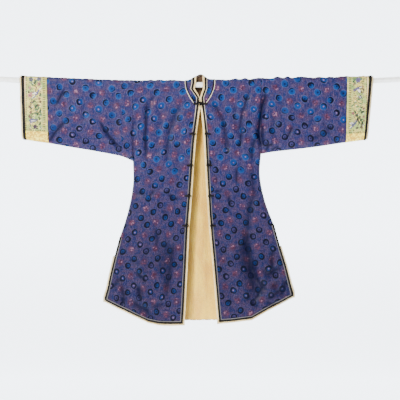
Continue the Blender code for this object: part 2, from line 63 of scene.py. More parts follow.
def deselectAll():
    for item in list(bpy.context.selected_objects):
        item.select_set(False)


def choose(piece):
    deselectAll()
    piece.select_set(True)
    bpy.context.view_layer.objects.active = piece


# camera, light and floor
cameraSet = {"middle": -463.2 * mm, "distance": 3.80, "lens": 85}
bpy.ops.object.camera_add(location=(0, -cameraSet["distance"], cameraSet["middle"]),
                          rotation=(math.pi / 2, 0, 0))
camera = bpy.context.active_object
camera.name = "front_camera"
camera.data.lens = cameraSet["lens"]
camera.data.clip_end = 60
bpy.context.scene.camera = camera

# name: place, aim, size, power, colour
lights = {
    "key_light": ((-2.3, -3.6, 2.3), (0, 0, -0.4), 0.8, 620, (1.0, 0.985, 0.95)),
    "fill_light": ((2.8, -3.2, 0.4), (0, 0, -0.5), 2.6, 45, (0.95, 0.97, 1.0)),
    "back_light": ((0.6, 3.6, 2.2), (0, 0, -0.4), 2.4, 150, (1, 1, 1)),
}
for lightName, (place, aim, size, power, colour) in lights.items():
    bpy.ops.object.light_add(type="AREA", location=place)
    lamp = bpy.context.active_object
    lamp.name = lightName
    lamp.data.size = size
    lamp.data.energy = power
    lamp.data.color = colour
    lamp.rotation_euler = (Vector(aim) - Vector(place)).to_track_quat("-Z", "Y").to_euler()

world = bpy.context.scene.world or bpy.data.worlds.new("room")
bpy.context.scene.world = world
world.use_nodes = True
sky = world.node_tree.nodes["Background"]
sky.inputs["Color"].default_value = (0.93, 0.95, 1.0, 1)
sky.inputs["Strength"].default_value = 0.36

floorSet = {"height": -2.6, "depth": 7.5, "wide": 12, "bend": 1.6, "steps": 10, "rise": 7, "glow": 3.7}
bpy.ops.mesh.primitive_plane_add(size=1, location=(0, 0, floorSet["height"]))
floor = bpy.context.active_object
floor.name = "floor"
floor.scale = (floorSet["wide"] * 2, floorSet["depth"] * 2, 1)
bpy.ops.object.transform_apply(location=True, rotation=True, scale=True)
bpy.ops.object.mode_set(mode="EDIT")
sheetMesh = bmesh.from_edit_mesh(floor.data)
for edge in sheetMesh.edges:
    edge.select_set(all(v.co.y > 0 for v in edge.verts))
sheetMesh.select_flush_mode()
stepTurn = math.pi / 2 / floorSet["steps"]
stepLength = floorSet["bend"] * stepTurn
for step in range(floorSet["steps"]):
    turn = (step + 0.5) * stepTurn
    bpy.ops.mesh.extrude_region_move(TRANSFORM_OT_translate={
        "value": (0, math.cos(turn) * stepLength, math.sin(turn) * stepLength)})
bpy.ops.mesh.extrude_region_move(TRANSFORM_OT_translate={"value": (0, 0, floorSet["rise"])})
bpy.ops.object.mode_set(mode="OBJECT")
bpy.ops.object.shade_smooth()
print("camera, lights and floor ready")


# shader maths
class Wire:
    # one socket of a material; sums and products of wires add Math nodes
    def __init__(self, tree, socket=None):
        self.tree = tree
        self.socket = socket

    def make(self, kind, settings, values, out=0):
        node = self.tree.nodes.new("ShaderNode" + kind)
        for name, value in settings.items():
            setattr(node, name, value)
        for name, value in values.items():
            if isinstance(value, Wire):
                self.tree.links.new(value.socket, node.inputs[name])
            else:
                node.inputs[name].default_value = value
        return Wire(self.tree, node.outputs[out])

    def maths(self, operation, *others):
        return self.make("Math", {"operation": operation}, dict(enumerate((self, *others))))

    def __add__(self, other):
        return self.maths("ADD", other)

    def __sub__(self, other):
        return self.maths("SUBTRACT", other)

    def __rsub__(self, other):
        return self.make("Math", {"operation": "SUBTRACT"}, {0: other, 1: self})

    def __mul__(self, other):
        return self.maths("MULTIPLY", other)

    def __truediv__(self, other):
        return self.maths("DIVIDE", other)

    __radd__ = __add__
    __rmul__ = __mul__

    def ramp(self, low, high):
        return self.make("MapRange", {"interpolation_type": "SMOOTHSTEP"},
                         {"Value": self, "From Min": low, "From Max": high})

    def mixed(self, first, second):
        return self.make("Mix", {"data_type": "RGBA"}, {0: self, 6: first, 7: second}, out=2)

    def away(self, place):
        return (self - place).maths("ABSOLUTE")

    def vector(self, x, y, z=0.0):
        return self.make("CombineXYZ", {}, {0: x, 1: y, 2: z})

    def vectorMaths(self, operation, other):
        return self.make("VectorMath", {"operation": operation}, {0: self, 1: other})

    def parts(self, kind="SeparateXYZ"):
        # the three parts of a vector or of a colour
        node = self.make(kind, {}, {0: self}).socket.node
        return [Wire(self.tree, socket) for socket in node.outputs]

    def noise(self, scale, detail=2.0, rough=0.5, out=0):
        return self.make("TexNoise", {}, {"Vector": self, "Scale": scale, "Detail": detail,
                                          "Roughness": rough}, out=out)

    def painted(self, name, out=2):
        # a value that was painted on the mesh
        return self.make("Attribute", {"attribute_name": name}, {}, out=out)

    def onPiece(self):
        return self.make("TexCoord", {}, {}, out=3)

    def onCut(self):
        # across and down the piece's own cut, and both as a vector
        u, v = self.make("UVMap", {"uv_map": "cut"}, {}).parts()[:2]
        return u, v, self.vector(u, v)

    def to(self, socket):
        self.tree.links.new(self.socket, socket)


def linear(value):
    return value / 12.92 if value <= 0.04045 else ((value + 0.055) / 1.055) ** 2.4


def tint(red, green, blue):
    # a shade given as on a screen, 0 to 255, made linear
    return (linear(red / 255), linear(green / 255), linear(blue / 255), 1)


def newFinish(name, roughness=0.6, **fixed):
    # a material, a first wire in it, and its shader
    material = bpy.data.materials.new(name)
    material.use_nodes = True
    shader = material.node_tree.nodes["Principled BSDF"]
    shader.inputs["Roughness"].default_value = roughness
    for socket, value in fixed.items():
        shader.inputs[socket.replace("_", " ")].default_value = value
    return material, Wire(material.node_tree), shader


def lay(material, shader, colour, height, distance, strength):
    # colour and relief of a finish
    colour.to(shader.inputs["Base Color"])
    bump = colour.make("Bump", {}, {"Height": height, "Distance": distance, "Strength": strength})
    bump.to(shader.inputs["Normal"])
    return material


# How the repeat lies on each cut of the silk: x and drop of one ring, column lean and curve to the hem,
# column spacing and how much it narrows, row tilt, and the span down the cloth over which the rings'
# painted shade grows. The sleeve of the right side joins beyond joinAt.
silkLay = {
    "body_right": {"x": -93.6, "drop": 1.6, "lean": -98, "curve": 39.6, "wide": 104.8, "narrows": 13.6,
                   "tilt": -0.04, "shadeFrom": 0.20, "shadeTo": 0.56},
    "body_left": {"x": 103.6, "drop": -4.4, "lean": 82, "curve": 0, "wide": 102, "narrows": 3, "tilt": 0.0,
                  "shadeFrom": 0.18, "shadeTo": 0.52},
    "sleeve_right": {"x": -352.8, "drop": 21.5, "lean": 0, "curve": 0, "wide": 105.6, "narrows": 0,
                     "tilt": 0.0, "joinAt": -0.314, "shadeFrom": 0.06, "shadeTo": 0.30},
    "sleeve_left": {"x": 340, "drop": 2.4, "lean": 0, "curve": 0, "wide": 104, "narrows": 0, "tilt": 0.073,
                    "shadeFrom": 0.05, "shadeTo": 0.25},
}
silkSet = {
    "rowHeight": 106.4 * mm, "leanOver": 0.852, "bend": 6.5 * mm,
    "rings": [(0, 0), (0.265, 0.262), (0.765, 0.535), (0.495, 0.785)],
    "blossoms": [(0.63, 0.16), (0.18, 0.645)],
    "ringRadius": 12.9 * mm, "pileShift": 0.40, "pileBand": 1.12, "bandNarrows": 0.58,
    "blossomRadius": 13.5 * mm, "ragged": 9 * mm,
    "glowFrom": 21 * mm, "glowTo": 8 * mm, "glowRagged": 12 * mm,
    "dye": (0.34, 0.355, 0.45, 1), "shadedDye": (0.265, 0.26, 0.315, 1),
}


def repeatPlace(base, cut, u, drop):
    # column and row numbers of the repeat at a place on the cloth
    part = base.make("MapRange", {}, {"Value": drop, "From Min": 0.0, "From Max": silkSet["leanOver"]})
    start = cut["x"] * mm + part * (cut["lean"] * mm) + part * part * (cut["curve"] * mm)
    wide = cut["wide"] * mm - part * (cut["narrows"] * mm)
    away = u - start
    return away / wide, (drop - cut["drop"] * mm - away * cut["tilt"]) / silkSet["rowHeight"]


def nearest(base, column, row, places, wide):
    # offset from the nearest of a cell's motifs, with a number of its own
    best = None
    for number, (across, down) in enumerate(places):
        shiftedX = column - (across - 0.5)
        shiftedY = row - (down - 0.5)
        cellX = shiftedX.maths("FLOOR")
        cellY = shiftedY.maths("FLOOR")
        dx = (shiftedX - cellX - 0.5) * wide
        dy = (shiftedY - cellY - 0.5) * silkSet["rowHeight"]
        away = (dx * dx + dy * dy).maths("SQRT")
        own = base.vector(dx, dy, cellX * 7.31 + cellY * 3.77 + number * 1.93)
        if best is None:
            best, bestAway = own, away
            continue
        closer = away.maths("LESS_THAN", bestAway)
        best = base.make("Mix", {"data_type": "VECTOR"}, {0: closer, 4: best, 5: own}, out=1)
        bestAway = away.maths("MINIMUM", bestAway)
    return best, bestAway


def makeSilk(name, cut):
    material, base, shader = newFinish(name, 0.5, Specular_IOR_Level=0.08)
    where = base.onCut()[2]
    wobble = where.noise(55, 1.0, out=1).vectorMaths("SUBTRACT", (0.5, 0.5, 0.5))
    bent = wobble.vectorMaths("MULTIPLY", (silkSet["bend"],) * 3)
    u, v = where.vectorMaths("ADD", bent).parts()[:2]
    drop = v * -1
    column, row = repeatPlace(base, cut, u, drop)
    if "joinAt" in cut:
        # inside the join, the sleeve's first hand's breadth is still the body's cut
        inner, innerRow = repeatPlace(base, silkLay["body_right"], u, drop)
        inside = u.maths("GREATER_THAN", cut["joinAt"])
        column = column + (inner - column) * inside
        row = row + (innerRow - row) * inside
    ring, away = nearest(base, column, row, silkSet["rings"], cut["wide"] * mm)
    budAway = nearest(base, column, row, silkSet["blossoms"], cut["wide"] * mm)[1]

    # ground: blue weft and dusky pink warp, with slubs both ways
    upright = where.vectorMaths("MULTIPLY", (1.0, 0.24, 1))
    level = where.vectorMaths("MULTIPLY", (0.2, 1.0, 1))
    slubs = upright.noise(210, 2.0, 0.6)
    wefts = level.noise(190, 2.0, 0.6)
    weave = where.noise(300, 1.0)
    specks = upright.noise(300, 2.0, 0.7)
    ground = where.noise(55, 3.0, 0.6).ramp(0.38, 0.62).mixed(tint(40, 50, 104), tint(92, 72, 104))
    ground = (slubs.ramp(0.48, 0.66) * 0.5).mixed(ground, tint(122, 92, 118))
    ground = (wefts.ramp(0.50, 0.68) * 0.6).mixed(ground, tint(28, 66, 120))
    ground = (weave.ramp(0.45, 0.64) * 0.75).mixed(ground, tint(14, 18, 52))
    ground = (specks.ramp(0.54, 0.70) * 0.55).mixed(ground, tint(134, 116, 150))

    # blossoms: a loose cluster of dusty petals
    petals = base.make("TexVoronoi", {}, {"Vector": where, "Scale": 150.0, "Randomness": 1.0})
    petalHue = Wire(base.tree, petals.socket.node.outputs[1]).parts("SeparateColor")[0]
    ragged = where.noise(140, 1.0) - 0.5
    bloom = silkSet["blossomRadius"]
    budMask = (budAway + ragged * silkSet["ragged"]).ramp(bloom, bloom * 0.6)
    petalColour = petalHue.ramp(0.2, 0.5).mixed(tint(80, 28, 44), tint(136, 76, 92))
    petalColour = petalHue.ramp(0.68, 0.80).mixed(petalColour, tint(196, 142, 154))
    shape = (1 - petals.ramp(0.42, 0.72)) * 0.72
    glow = (budAway + ragged * silkSet["glowRagged"]).ramp(silkSet["glowFrom"], silkSet["glowTo"]) * 0.5
    cloth = glow.mixed(ground, tint(96, 54, 76))
    cloth = (budMask * shape).mixed(cloth, petalColour)

    # rings: cut pile in painted light and shade, azure where it would lean to the light and navy where it
    # leans away, with more navy further down the cloth
    dx, dy, seed = ring.parts()
    chance = base.make("TexWhiteNoise", {"noise_dimensions": "1D"}, {"W": seed}, out=1)
    chanceA, chanceB, chanceC = chance.parts("SeparateColor")
    radius = silkSet["ringRadius"]
    size = away / radius
    way = drop.maths("ABSOLUTE")
    # painted shade: more of the pile turns navy further down the cloth
    shadedLow = way.ramp(cut["shadeFrom"], cut["shadeTo"])
    # the navy painted shade of the pile is a ring off to one side, so that it shows as a crescent or as a
    # whole ring
    turn = chanceA * 6.283
    shift = (1 - shadedLow * 0.62) * silkSet["pileShift"]
    offX = dx / radius - turn.maths("COSINE") * shift
    offY = dy / radius - turn.maths("SINE") * shift
    off = (offX * offX + offY * offY).maths("SQRT")
    amount = shadedLow * 1.5 + chanceB * 1.5 - 1.25
    band = silkSet["pileBand"] - amount.ramp(-0.95, 0.6) * silkSet["bandNarrows"]
    pile = where.noise(420, 2.0, 0.65)
    azure = pile.ramp(0.35, 0.66).mixed(tint(4, 52, 110), tint(22, 108, 174))
    azure = (chanceA.ramp(0.35, 0.95) * 0.5).mixed(azure, tint(18, 52, 108))
    azure = (shadedLow * 0.45).mixed(azure, tint(22, 60, 116))
    azure = (size.ramp(0.72, 0.60) * 0.5).mixed(azure, tint(10, 52, 118))
    deep = pile.ramp(0.38, 0.70).mixed(tint(1, 2, 14), tint(5, 10, 42))
    inner = chanceB.ramp(0.5, 0.65).mixed(tint(20, 60, 122), tint(72, 68, 114))
    azure = (amount + chanceC * 0.9).ramp(0.8, 1.3).mixed(azure, inner)
    pileColour = (off - band).ramp(-0.07, 0.10).mixed(azure, deep)
    centre = size.ramp(0.31, 0.18)
    eye = chanceC.ramp(0.66, 0.72).mixed(tint(12, 7, 30), tint(160, 128, 164))
    pileColour = (centre * 0.9).mixed(pileColour, eye)
    ringMask = size.ramp(1.10, 0.97)
    halo = size.ramp(0.98, 1.07) * size.ramp(1.28, 1.12) * (0.36 - shadedLow * 0.24)
    cloth = halo.mixed(cloth, tint(112, 132, 180))
    cloth = (ringMask * 0.96).mixed(cloth, pileColour)

    # painted shade of the narrow creases, painted on the mesh where they were laid, and the dye over all,
    # darker further down the cloth as painted shade
    cloth = (base.painted("crease") * 0.9).mixed(cloth, tint(8, 14, 54))
    dye = way.ramp(0.16, 0.74).mixed(silkSet["dye"], silkSet["shadedDye"])
    cloth = base.make("Mix", {"data_type": "RGBA", "blend_type": "MULTIPLY"}, {0: 1.0, 6: cloth, 7: dye},
                      out=2)
    (0.5 - ringMask * 0.06 + (weave - 0.5) * 0.3).to(shader.inputs["Roughness"])
    height = slubs * 0.25 + wefts * 0.25 + weave * 0.25 + ringMask * 0.7 * (1 - centre)
    return lay(material, shader, cloth, height + budMask * shape * 0.3, 0.5 * mm, 0.6)


def makeFleece(name, pale, deep, curl):
    material, base, shader = newFinish(name, 0.95, Sheen_Weight=0.35, Sheen_Roughness=0.6,
                                       Specular_IOR_Level=0.15)
    where = base.onPiece()
    locks = where.noise(170, 3.0, 0.65)
    fibre = where.noise(620, 2.0, 0.6)
    broad = where.vectorMaths("MULTIPLY", (1.0, 1.0, 0.35)).noise(26, 3.0, 0.6)
    colour = broad.ramp(0.3, 0.7).mixed(pale, deep)
    colour = (locks.ramp(0.45, 0.7) * 0.42).mixed(colour, tint(172, 134, 74))
    colour = (fibre.ramp(0.5, 0.72) * 0.36).mixed(colour, tint(252, 232, 178))
    # painted shade of the lining below the neck, beside the opening and in its folds, and the dark of the
    # centre-back seam
    colour = (base.painted("shade") * 0.97).mixed(colour, tint(50, 24, 4))
    return lay(material, shader, colour, locks * 0.8 + fibre * 0.5, 2.2 * mm * curl, 0.7)


def blackRibs(where):
    # woven ribs of the black braid, and their colour
    ribs = where.noise(260, 2.0, 0.6)
    return ribs, ribs.ramp(0.35, 0.7).mixed(tint(4, 3, 3), tint(22, 19, 17))


def makeBraid(name):
    # black edge binding, sewn down with small pale stitches beside the piping
    material, base, shader = newFinish(name, 0.7, Specular_IOR_Level=0.1)
    where = base.onPiece()
    ribs, colour = blackRibs(where)
    flecks = where.noise(480, 1.0)
    colour = (flecks.ramp(0.68, 0.74) * 0.5).mixed(colour, tint(120, 104, 78))
    return lay(material, shader, colour, ribs + flecks * 0.3, 0.8 * mm, 0.8)


def makePiping(name):
    # pale twisted cord, in the shade of the folds below the shoulders
    material, base, shader = newFinish(name, 0.5, Sheen_Weight=0.1)
    where = base.onPiece()
    twist = base.make("TexWave", {"bands_direction": "DIAGONAL"}, {"Vector": where, "Scale": 260.0,
                                                                 "Distortion": 0.6, "Detail": 1.0}, out=1)
    low = where.parts()[2].ramp(-0.10, -0.22)
    colour = where.noise(40, 3.0).ramp(0.3, 0.7).mixed(tint(186, 172, 150), tint(140, 130, 118))
    colour = (low * 0.85).mixed(colour, tint(40, 38, 52))
    # painted shade in the grooves of the twist
    colour = ((1 - twist) * 0.45).mixed(colour, tint(60, 54, 56))
    return lay(material, shader, colour, twist, 0.5 * mm, 0.7)


def makeYokeBorder(name):
    # black braid with a pale cord laid along its outer edge
    material, base, shader = newFinish(name, 0.65, Specular_IOR_Level=0.1)
    where = base.onPiece()
    inward = base.painted("inward")
    ribs, colour = blackRibs(where)
    cord = where.noise(60, 2.0).ramp(0.3, 0.7).mixed(tint(196, 184, 164), tint(150, 140, 128))
    pale = inward.ramp(3.6, 2.6)
    return lay(material, shader, pale.mixed(colour, cord), ribs * 0.5 + pale * inward.ramp(-1.0, 1.4),
               1.0 * mm, 0.8)


def makeCuffSilk(name, side):
    # cream and leaf-green satin, with rows of small dark stitches along both sides and across the foot
    material, base, shader = newFinish(name, 0.55, Specular_IOR_Level=0.2)
    u, v, where = base.onCut()
    drop = v * -1
    blots = where.noise(85, 3.0, 0.65)
    grain = where.vectorMaths("MULTIPLY", (1.0, 0.3, 1)).noise(700, 2.0)
    colour = where.noise(30, 3.0, 0.6).ramp(0.36, 0.64).mixed(tint(190, 168, 88), tint(132, 152, 84))
    colour = (blots.ramp(0.46, 0.64) * 0.55).mixed(colour, tint(112, 122, 62))
    colour = (blots.ramp(0.44, 0.34) * 0.5).mixed(colour, tint(232, 214, 138))
    worked = u.away(side["workAt"] * mm).ramp(27 * mm, 20 * mm)
    flecks = where.noise(170, 2.0, 0.6)
    colour = (flecks.ramp(0.54, 0.61) * worked * 0.85).mixed(colour, tint(58, 56, 30))
    foot = drop.ramp((side["footLine"] + 1) * mm, (side["footLine"] + 7) * mm)
    colour = foot.mixed(colour, blots.ramp(0.42, 0.56).mixed(tint(232, 210, 84), tint(182, 142, 44)))
    beat = 2 * math.pi / (7.2 * mm)
    stitch = (drop * beat).maths("SINE").ramp(-0.3, 0.1)
    across = (u * beat).maths("SINE").ramp(-0.1, 0.35)
    rows = [u.away(line * mm).ramp(3.0 * mm, 2.1 * mm) for line in side["stitchLines"]]
    marks = rows[0].maths("MAXIMUM", rows[1]).maths("MAXIMUM", rows[2]) * stitch * (1 - foot)
    low = drop.away(side["footLine"] * mm).ramp(2.8 * mm, 1.8 * mm)
    inside = u.ramp(side["footFrom"] * mm, (side["footFrom"] + 0.5) * mm)
    inside = inside * u.ramp(side["footTo"] * mm, (side["footTo"] - 0.5) * mm)
    marks = marks.maths("MAXIMUM", low * across * inside)
    colour = (marks * 0.9).mixed(colour, tint(30, 26, 12))
    blush = u.away(side["blushAt"] * mm).ramp(4 * mm, 1.5 * mm)
    colour = (blush * 0.5).mixed(colour, tint(238, 196, 160))
    return lay(material, shader, colour, grain + marks * 0.8, 0.4 * mm, 0.6)


def makeThreads(name):
    # satin stitch: each petal keeps its own shade, a little uneven along its threads
    material, base, shader = newFinish(name, 0.5, Specular_IOR_Level=0.2)
    shade = base.make("Gamma", {}, {0: base.painted("threadShade", 0), 1: 1.5})
    shade = base.make("HueSaturation", {}, {"Saturation": 0.72, "Color": shade})
    strands = base.onPiece().noise(900, 2.0)
    colour = (strands.ramp(0.5, 0.75) * 0.12).mixed(shade, tint(240, 236, 224))
    return lay(material, shader, colour, strands, 0.5 * mm, 0.7)


def makeRodPaint(name):
    material, base, shader = newFinish(name, 0.32, Coat_Weight=0.2)
    where = base.onPiece()
    dust = where.noise(60, 4.0, 0.6)
    (0.28 + dust * 0.2).to(shader.inputs["Roughness"])
    colour = dust.ramp(0.3, 0.8).mixed(tint(240, 239, 235), tint(222, 221, 216))
    return lay(material, shader, colour, where.noise(500, 1.0), 0.15 * mm, 0.3)


# the lines of stitches, the reach of the foot's stitches, a pink edge and the worked middle, in mm
cuffSides = {
    "right": {"stitchLines": [-697, -628, -622], "footLine": 199, "footFrom": -694, "footTo": -620,
              "blushAt": -702, "workAt": -661},
    "left": {"stitchLines": [668, 604, 598], "footLine": 206, "footFrom": 596, "footTo": 664,
             "blushAt": 672, "workAt": 634},
}
finishes = {"silk_" + cut: makeSilk("silk_" + cut, silkLay[cut]) for cut in silkLay}
finishes.update({
    "fleece_lining": makeFleece("fleece_lining", tint(230, 186, 50), tint(204, 150, 34), 1.6),
    "fleece_lip": makeFleece("fleece_lip", tint(232, 208, 150), tint(206, 172, 104), 1.4),
    "fleece_edge": makeFleece("fleece_edge", tint(226, 210, 164), tint(200, 178, 128), 1.4),
    "black_braid": makeBraid("black_braid"),
    "pale_piping": makePiping("pale_piping"),
    "yoke_border_braid": makeYokeBorder("yoke_border_braid"),
    "cuff_silk_right": makeCuffSilk("cuff_silk_right", cuffSides["right"]),
    "cuff_silk_left": makeCuffSilk("cuff_silk_left", cuffSides["left"]),
    "embroidery_threads": makeThreads("embroidery_threads"),
    "rod_paint": makeRodPaint("rod_paint"),
})
floorFinish, _, floorShader = newFinish("pale_floor", 0.9)
floorShader.inputs["Base Color"].default_value = (0.86, 0.88, 0.92, 1)
floorShader.inputs["Emission Color"].default_value = (0.86, 0.93, 1.0, 1)
floorShader.inputs["Emission Strength"].default_value = floorSet["glow"]
floor.data.materials.append(floorFinish)
print("finishes ready")


# creases of the hung cloth
# Each crease is a soft trough with painted shade: half width, depth, painted shade, then x and z of its
# points, in mm.
frontCreases = [
    # viewer's left sleeve
    (7, 7, 1.0, -518, 22, -532, 2, -552, -34, -566, -60, -584, -94),
    (8, 7, 1.0, -532, -136, -556, -164, -584, -196, -612, -240),
    (8, 7, 1.0, -408, -136, -380, -186, -355, -216, -312, -268),
    (6, 3, 0.4, -446, -10, -432, -44, -430, -70),
    (15, 3.5, 0.1, -470, -40, -462, -110, -476, -170),
    (16, 3.5, 0.12, -340, -20, -352, -120, -338, -230),
    (12, 1.5, 0, -640, -30, -646, -110, -640, -190),
    (9, 3, 0.35, -512, -176, -480, -214, -470, -226),
    # viewer's left front
    (7, 6.5, 1.0, -216, -40, -213, -100, -219, -215, -212, -316),
    (9, 4.0, 0.45, -178, -30, -206, -90, -228, -140),
    (9, 4, 0.35, -258, -110, -268, -200, -262, -300),
    (12, 6.0, 0.62, -64, -50, -90, -98, -122, -186, -132, -270, -128, -330),
    (15, 3.0, 0.12, -150, -60, -160, -160, -172, -300),
    (14, 3.0, 0.15, -98, -190, -86, -300, -92, -400),
    (6, 5, 0.95, -206, -450, -190, -434, -178, -420),
    (6, 5, 0.95, -130, -443, -106, -452, -84, -459),
    (11, 4, 0.5, -264, -430, -240, -438, -214, -436),
    (8, 3, 0.3, -150, -500, -120, -520),
    (13, 9, 0.75, -104, -610, -114, -690, -122, -750, -138, -868),
    (26, 6, 0.42, -128, -600, -142, -690, -150, -780),
    (16, 4, 0.2, -200, -600, -216, -700, -206, -780),
    (8, 6, 0.95, -258, -750, -232, -772, -208, -790),
    (10, 5, 0.6, -250, -800, -232, -830, -236, -850),
    (13, 7, 0.8, -276, -858, -246, -886, -212, -902, -198, -930),
    (7, 6, 1.0, -312, -846, -304, -886),
    (8, 4, 0.5, -338, -770, -306, -800),
    (10, 5, 0.6, -200, -896, -168, -884, -138, -876),
    (9, 4, 0.35, -284, -690, -250, -716, -226, -722),
    (11, 5, 0.85, -252, -800, -243, -832, -232, -876),
    (10, 3, 0.8, -318, -796, -308, -836, -300, -880),
    (10, 2.0, 0.7, -350, -820, -336, -796, -312, -772),
    (10, 4, 0.6, -186, -560, -170, -610, -176, -664),
    # viewer's right front
    (9, 6, 0.7, 40, -48, 66, -90, 92, -140, 112, -240, 108, -300),
    (9, 6, 0.75, 202, 2, 192, -46, 170, -120, 150, -216),
    (9, 3.5, 0.3, 146, -60, 140, -130, 150, -210),
    (7, 5.5, 0.85, 172, -150, 166, -200, 160, -262),
    (12, 6, 0.8, 224, -200, 210, -260, 206, -310),
    (15, 6, 0.6, 212, -290, 208, -360, 216, -440, 192, -540, 198, -640),
    (7, 5, 0.8, 150, -322, 147, -360, 148, -404),
    (7, 4.5, 0.7, 112, -430, 118, -460, 120, -490),
    (6, 5, 0.9, 56, -427, 76, -425, 98, -419),
    (7, 3.5, 0.5, 60, -355, 68, -398),
    (9, 3.5, 0.4, 96, -200, 108, -270),
    (20, 10, 0.85, 188, -560, 186, -640, 200, -700, 203, -750, 210, -812, 232, -880),
    (9, 6, 0.7, 222, -742, 226, -800, 244, -846),
    (9, 5, 0.7, 206, -862, 222, -884, 236, -892),
    (10, 2.5, 0.6, 292, -800, 310, -826, 318, -840),
    (9, 5, 0.55, 262, -868, 290, -880, 318, -868),
    (10, 4, 0.8, 209, -448, 204, -480, 186, -512),
    (11, 5, 0.9, 196, -580, 188, -626, 192, -656, 216, -684),
    (11, 6, 1.0, 210, -676, 209, -736, 228, -778, 250, -814, 240, -856),
    (10, 4, 0.8, 178, -756, 206, -744, 236, -724),
    (11, 5, 0.9, 254, -796, 232, -848, 198, -880),
    (10, 4, 0.75, 296, -640, 288, -700, 292, -736, 314, -760),
    (10, 4, 0.85, 242, -734, 274, -758, 302, -746, 330, -722),
    (10, 4, 0.85, 262, -864, 292, -846, 330, -816),
    (26, 7, 0.5, 168, -620, 180, -700, 196, -780),
    (10, 7, 0.8, 250, -776, 262, -830),
    (9, 5, 0.6, 286, -690, 294, -724),
    (9, 5, 0.6, 256, -772, 284, -760, 304, -722),
    (10, 5, 0.55, 284, -818, 318, -786),
    (12, 2.0, 0.9, 342, -776, 338, -816, 320, -852),
    (20, 4, 0.12, 90, -600, 104, -760, 96, -900),
    (14, 5, 0.5, 176, -870, 196, -850, 206, -826),
    (14, 4, 0.2, 128, -760, 122, -840, 132, -920),
    # viewer's right sleeve, with the deep fold where it joins
    (10, 11, 1.0, 266, 6, 262, -50, 250, -94, 236, -184, 242, -236, 240, -282),
    (12, 6, 0.8, 252, -150, 250, -200, 254, -262),
    (7, 5, 0.85, 350, -216, 364, -186, 374, -164),
    (7, 3, 0.4, 418, -100, 406, -140),
    (16, 3.5, 0.15, 320, -10, 330, -90, 318, -160),
    (6, 5.5, 1.0, 520, 16, 552, -14, 584, -44),
    (16, 5, 0.5, 540, -150, 502, -196, 440, -222),
    (18, 3.0, 0.1, 440, -20, 456, -110, 448, -200),
    (13, 2.4, 0.08, 390, -30, 384, -120, 396, -210),
    (7, 6, 0.9, 262, -270, 276, -244, 300, -236),
    (6, 5, 0.8, 282, -268, 302, -252, 322, -250),
    (7, 3, 0.4, 490, -146, 510, -176),
    (11, 4, 0.35, 300, -110, 292, -180, 306, -226),
]
backCreases = [
    (14, 3.5, 0.3, -20, -80, -60, -220, -74, -420),
    (14, 3.5, 0.3, 34, -80, 72, -230, 84, -430),
    (9, 3.8, 0.5, -210, -40, -226, -160, -216, -300),
    (9, 3.8, 0.5, 206, -30, 222, -150, 214, -280),
    (9, 4.5, 0.7, -262, -20, -258, -140, -262, -270),
    (9, 4.5, 0.7, 248, -20, 246, -120, 244, -250),
    (9, 3, 0.3, -130, -420, -60, -452),
    (9, 3, 0.3, 60, -440, 140, -426),
    (20, 5, 0.3, -120, -560, -140, -700, -128, -860),
    (20, 5, 0.3, 110, -560, 132, -720, 120, -880),
    (16, 4.5, 0.4, -236, -660, -262, -780, -280, -860),
    (16, 4.5, 0.4, 232, -650, 254, -770, 276, -850),
    (16, 3, 0, -20, -640, -14, -760, -26, -900),
    (12, 3.5, 0.4, -420, -40, -396, -130, -380, -220),
    (13, 2.8, 0.2, -560, -30, -540, -110, -556, -190),
    (12, 3.5, 0.4, 410, -40, 388, -130, 372, -210),
    (13, 2.8, 0.2, 540, -20, 522, -100, 536, -180),
    (12, 3, 0.3, -310, -60, -322, -180, -306, -250),
    (12, 3, 0.3, 300, -60, 310, -170, 296, -240),
]
# Pairs are where an effect begins and over what length it grows.
clothSet = {"ridge": 0.22, "taper": 0.24, "pucker": 1.3 * mm, "hangs": (16 * mm, 34 * mm),
            "offPlane": (2.5 * mm, 9 * mm), "gathers": (6 * mm, 14 * mm), "besideNeck": (70 * mm, 20 * mm),
            "bunches": (24 * mm, 34 * mm), "merge": 0.02 * mm, "squareTo": math.radians(60),
            "sharpFrom": math.radians(40), "smoothTo": math.radians(50)}

# how far the bunched cloth stands above the rod: places across, and the rise there, in mm
topLift = np.array([(-700, 2), (-320, 2), (-250, 2), (-168, 5), (-60, 4), (-44, 4), (-24, 4), (0, 5), (24, 4),
                    (72, 7), (120, 8), (168, 10), (216, 9), (264, 11), (312, 13), (360, 12), (408, 10),
                    (456, 8), (504, 6), (600, 5), (700, 3)]).T
neckArch = {"height": 9 * mm, "reach": 42 * mm}


def readRows(mesh, what="co"):
    # one row of x, y and z for every vertex
    flat = np.empty(len(mesh.vertices) * 3)
    mesh.vertices.foreach_get(what, flat)
    return flat.reshape(-1, 3)


def readWhole(items, what):
    values = np.empty(len(items), np.int32)
    items.foreach_get(what, values)
    return values


def writeLayer(mesh, name, values):
    layer = mesh.attributes.new(name, "FLOAT", "POINT")
    layer.data.foreach_set("value", values.astype(np.float32))


def rising(value, name):
    begin, over = clothSet[name]
    return smooth((value - begin) / over)


def falling(value, name):
    begin, over = clothSet[name]
    return smooth((begin - value) / over)


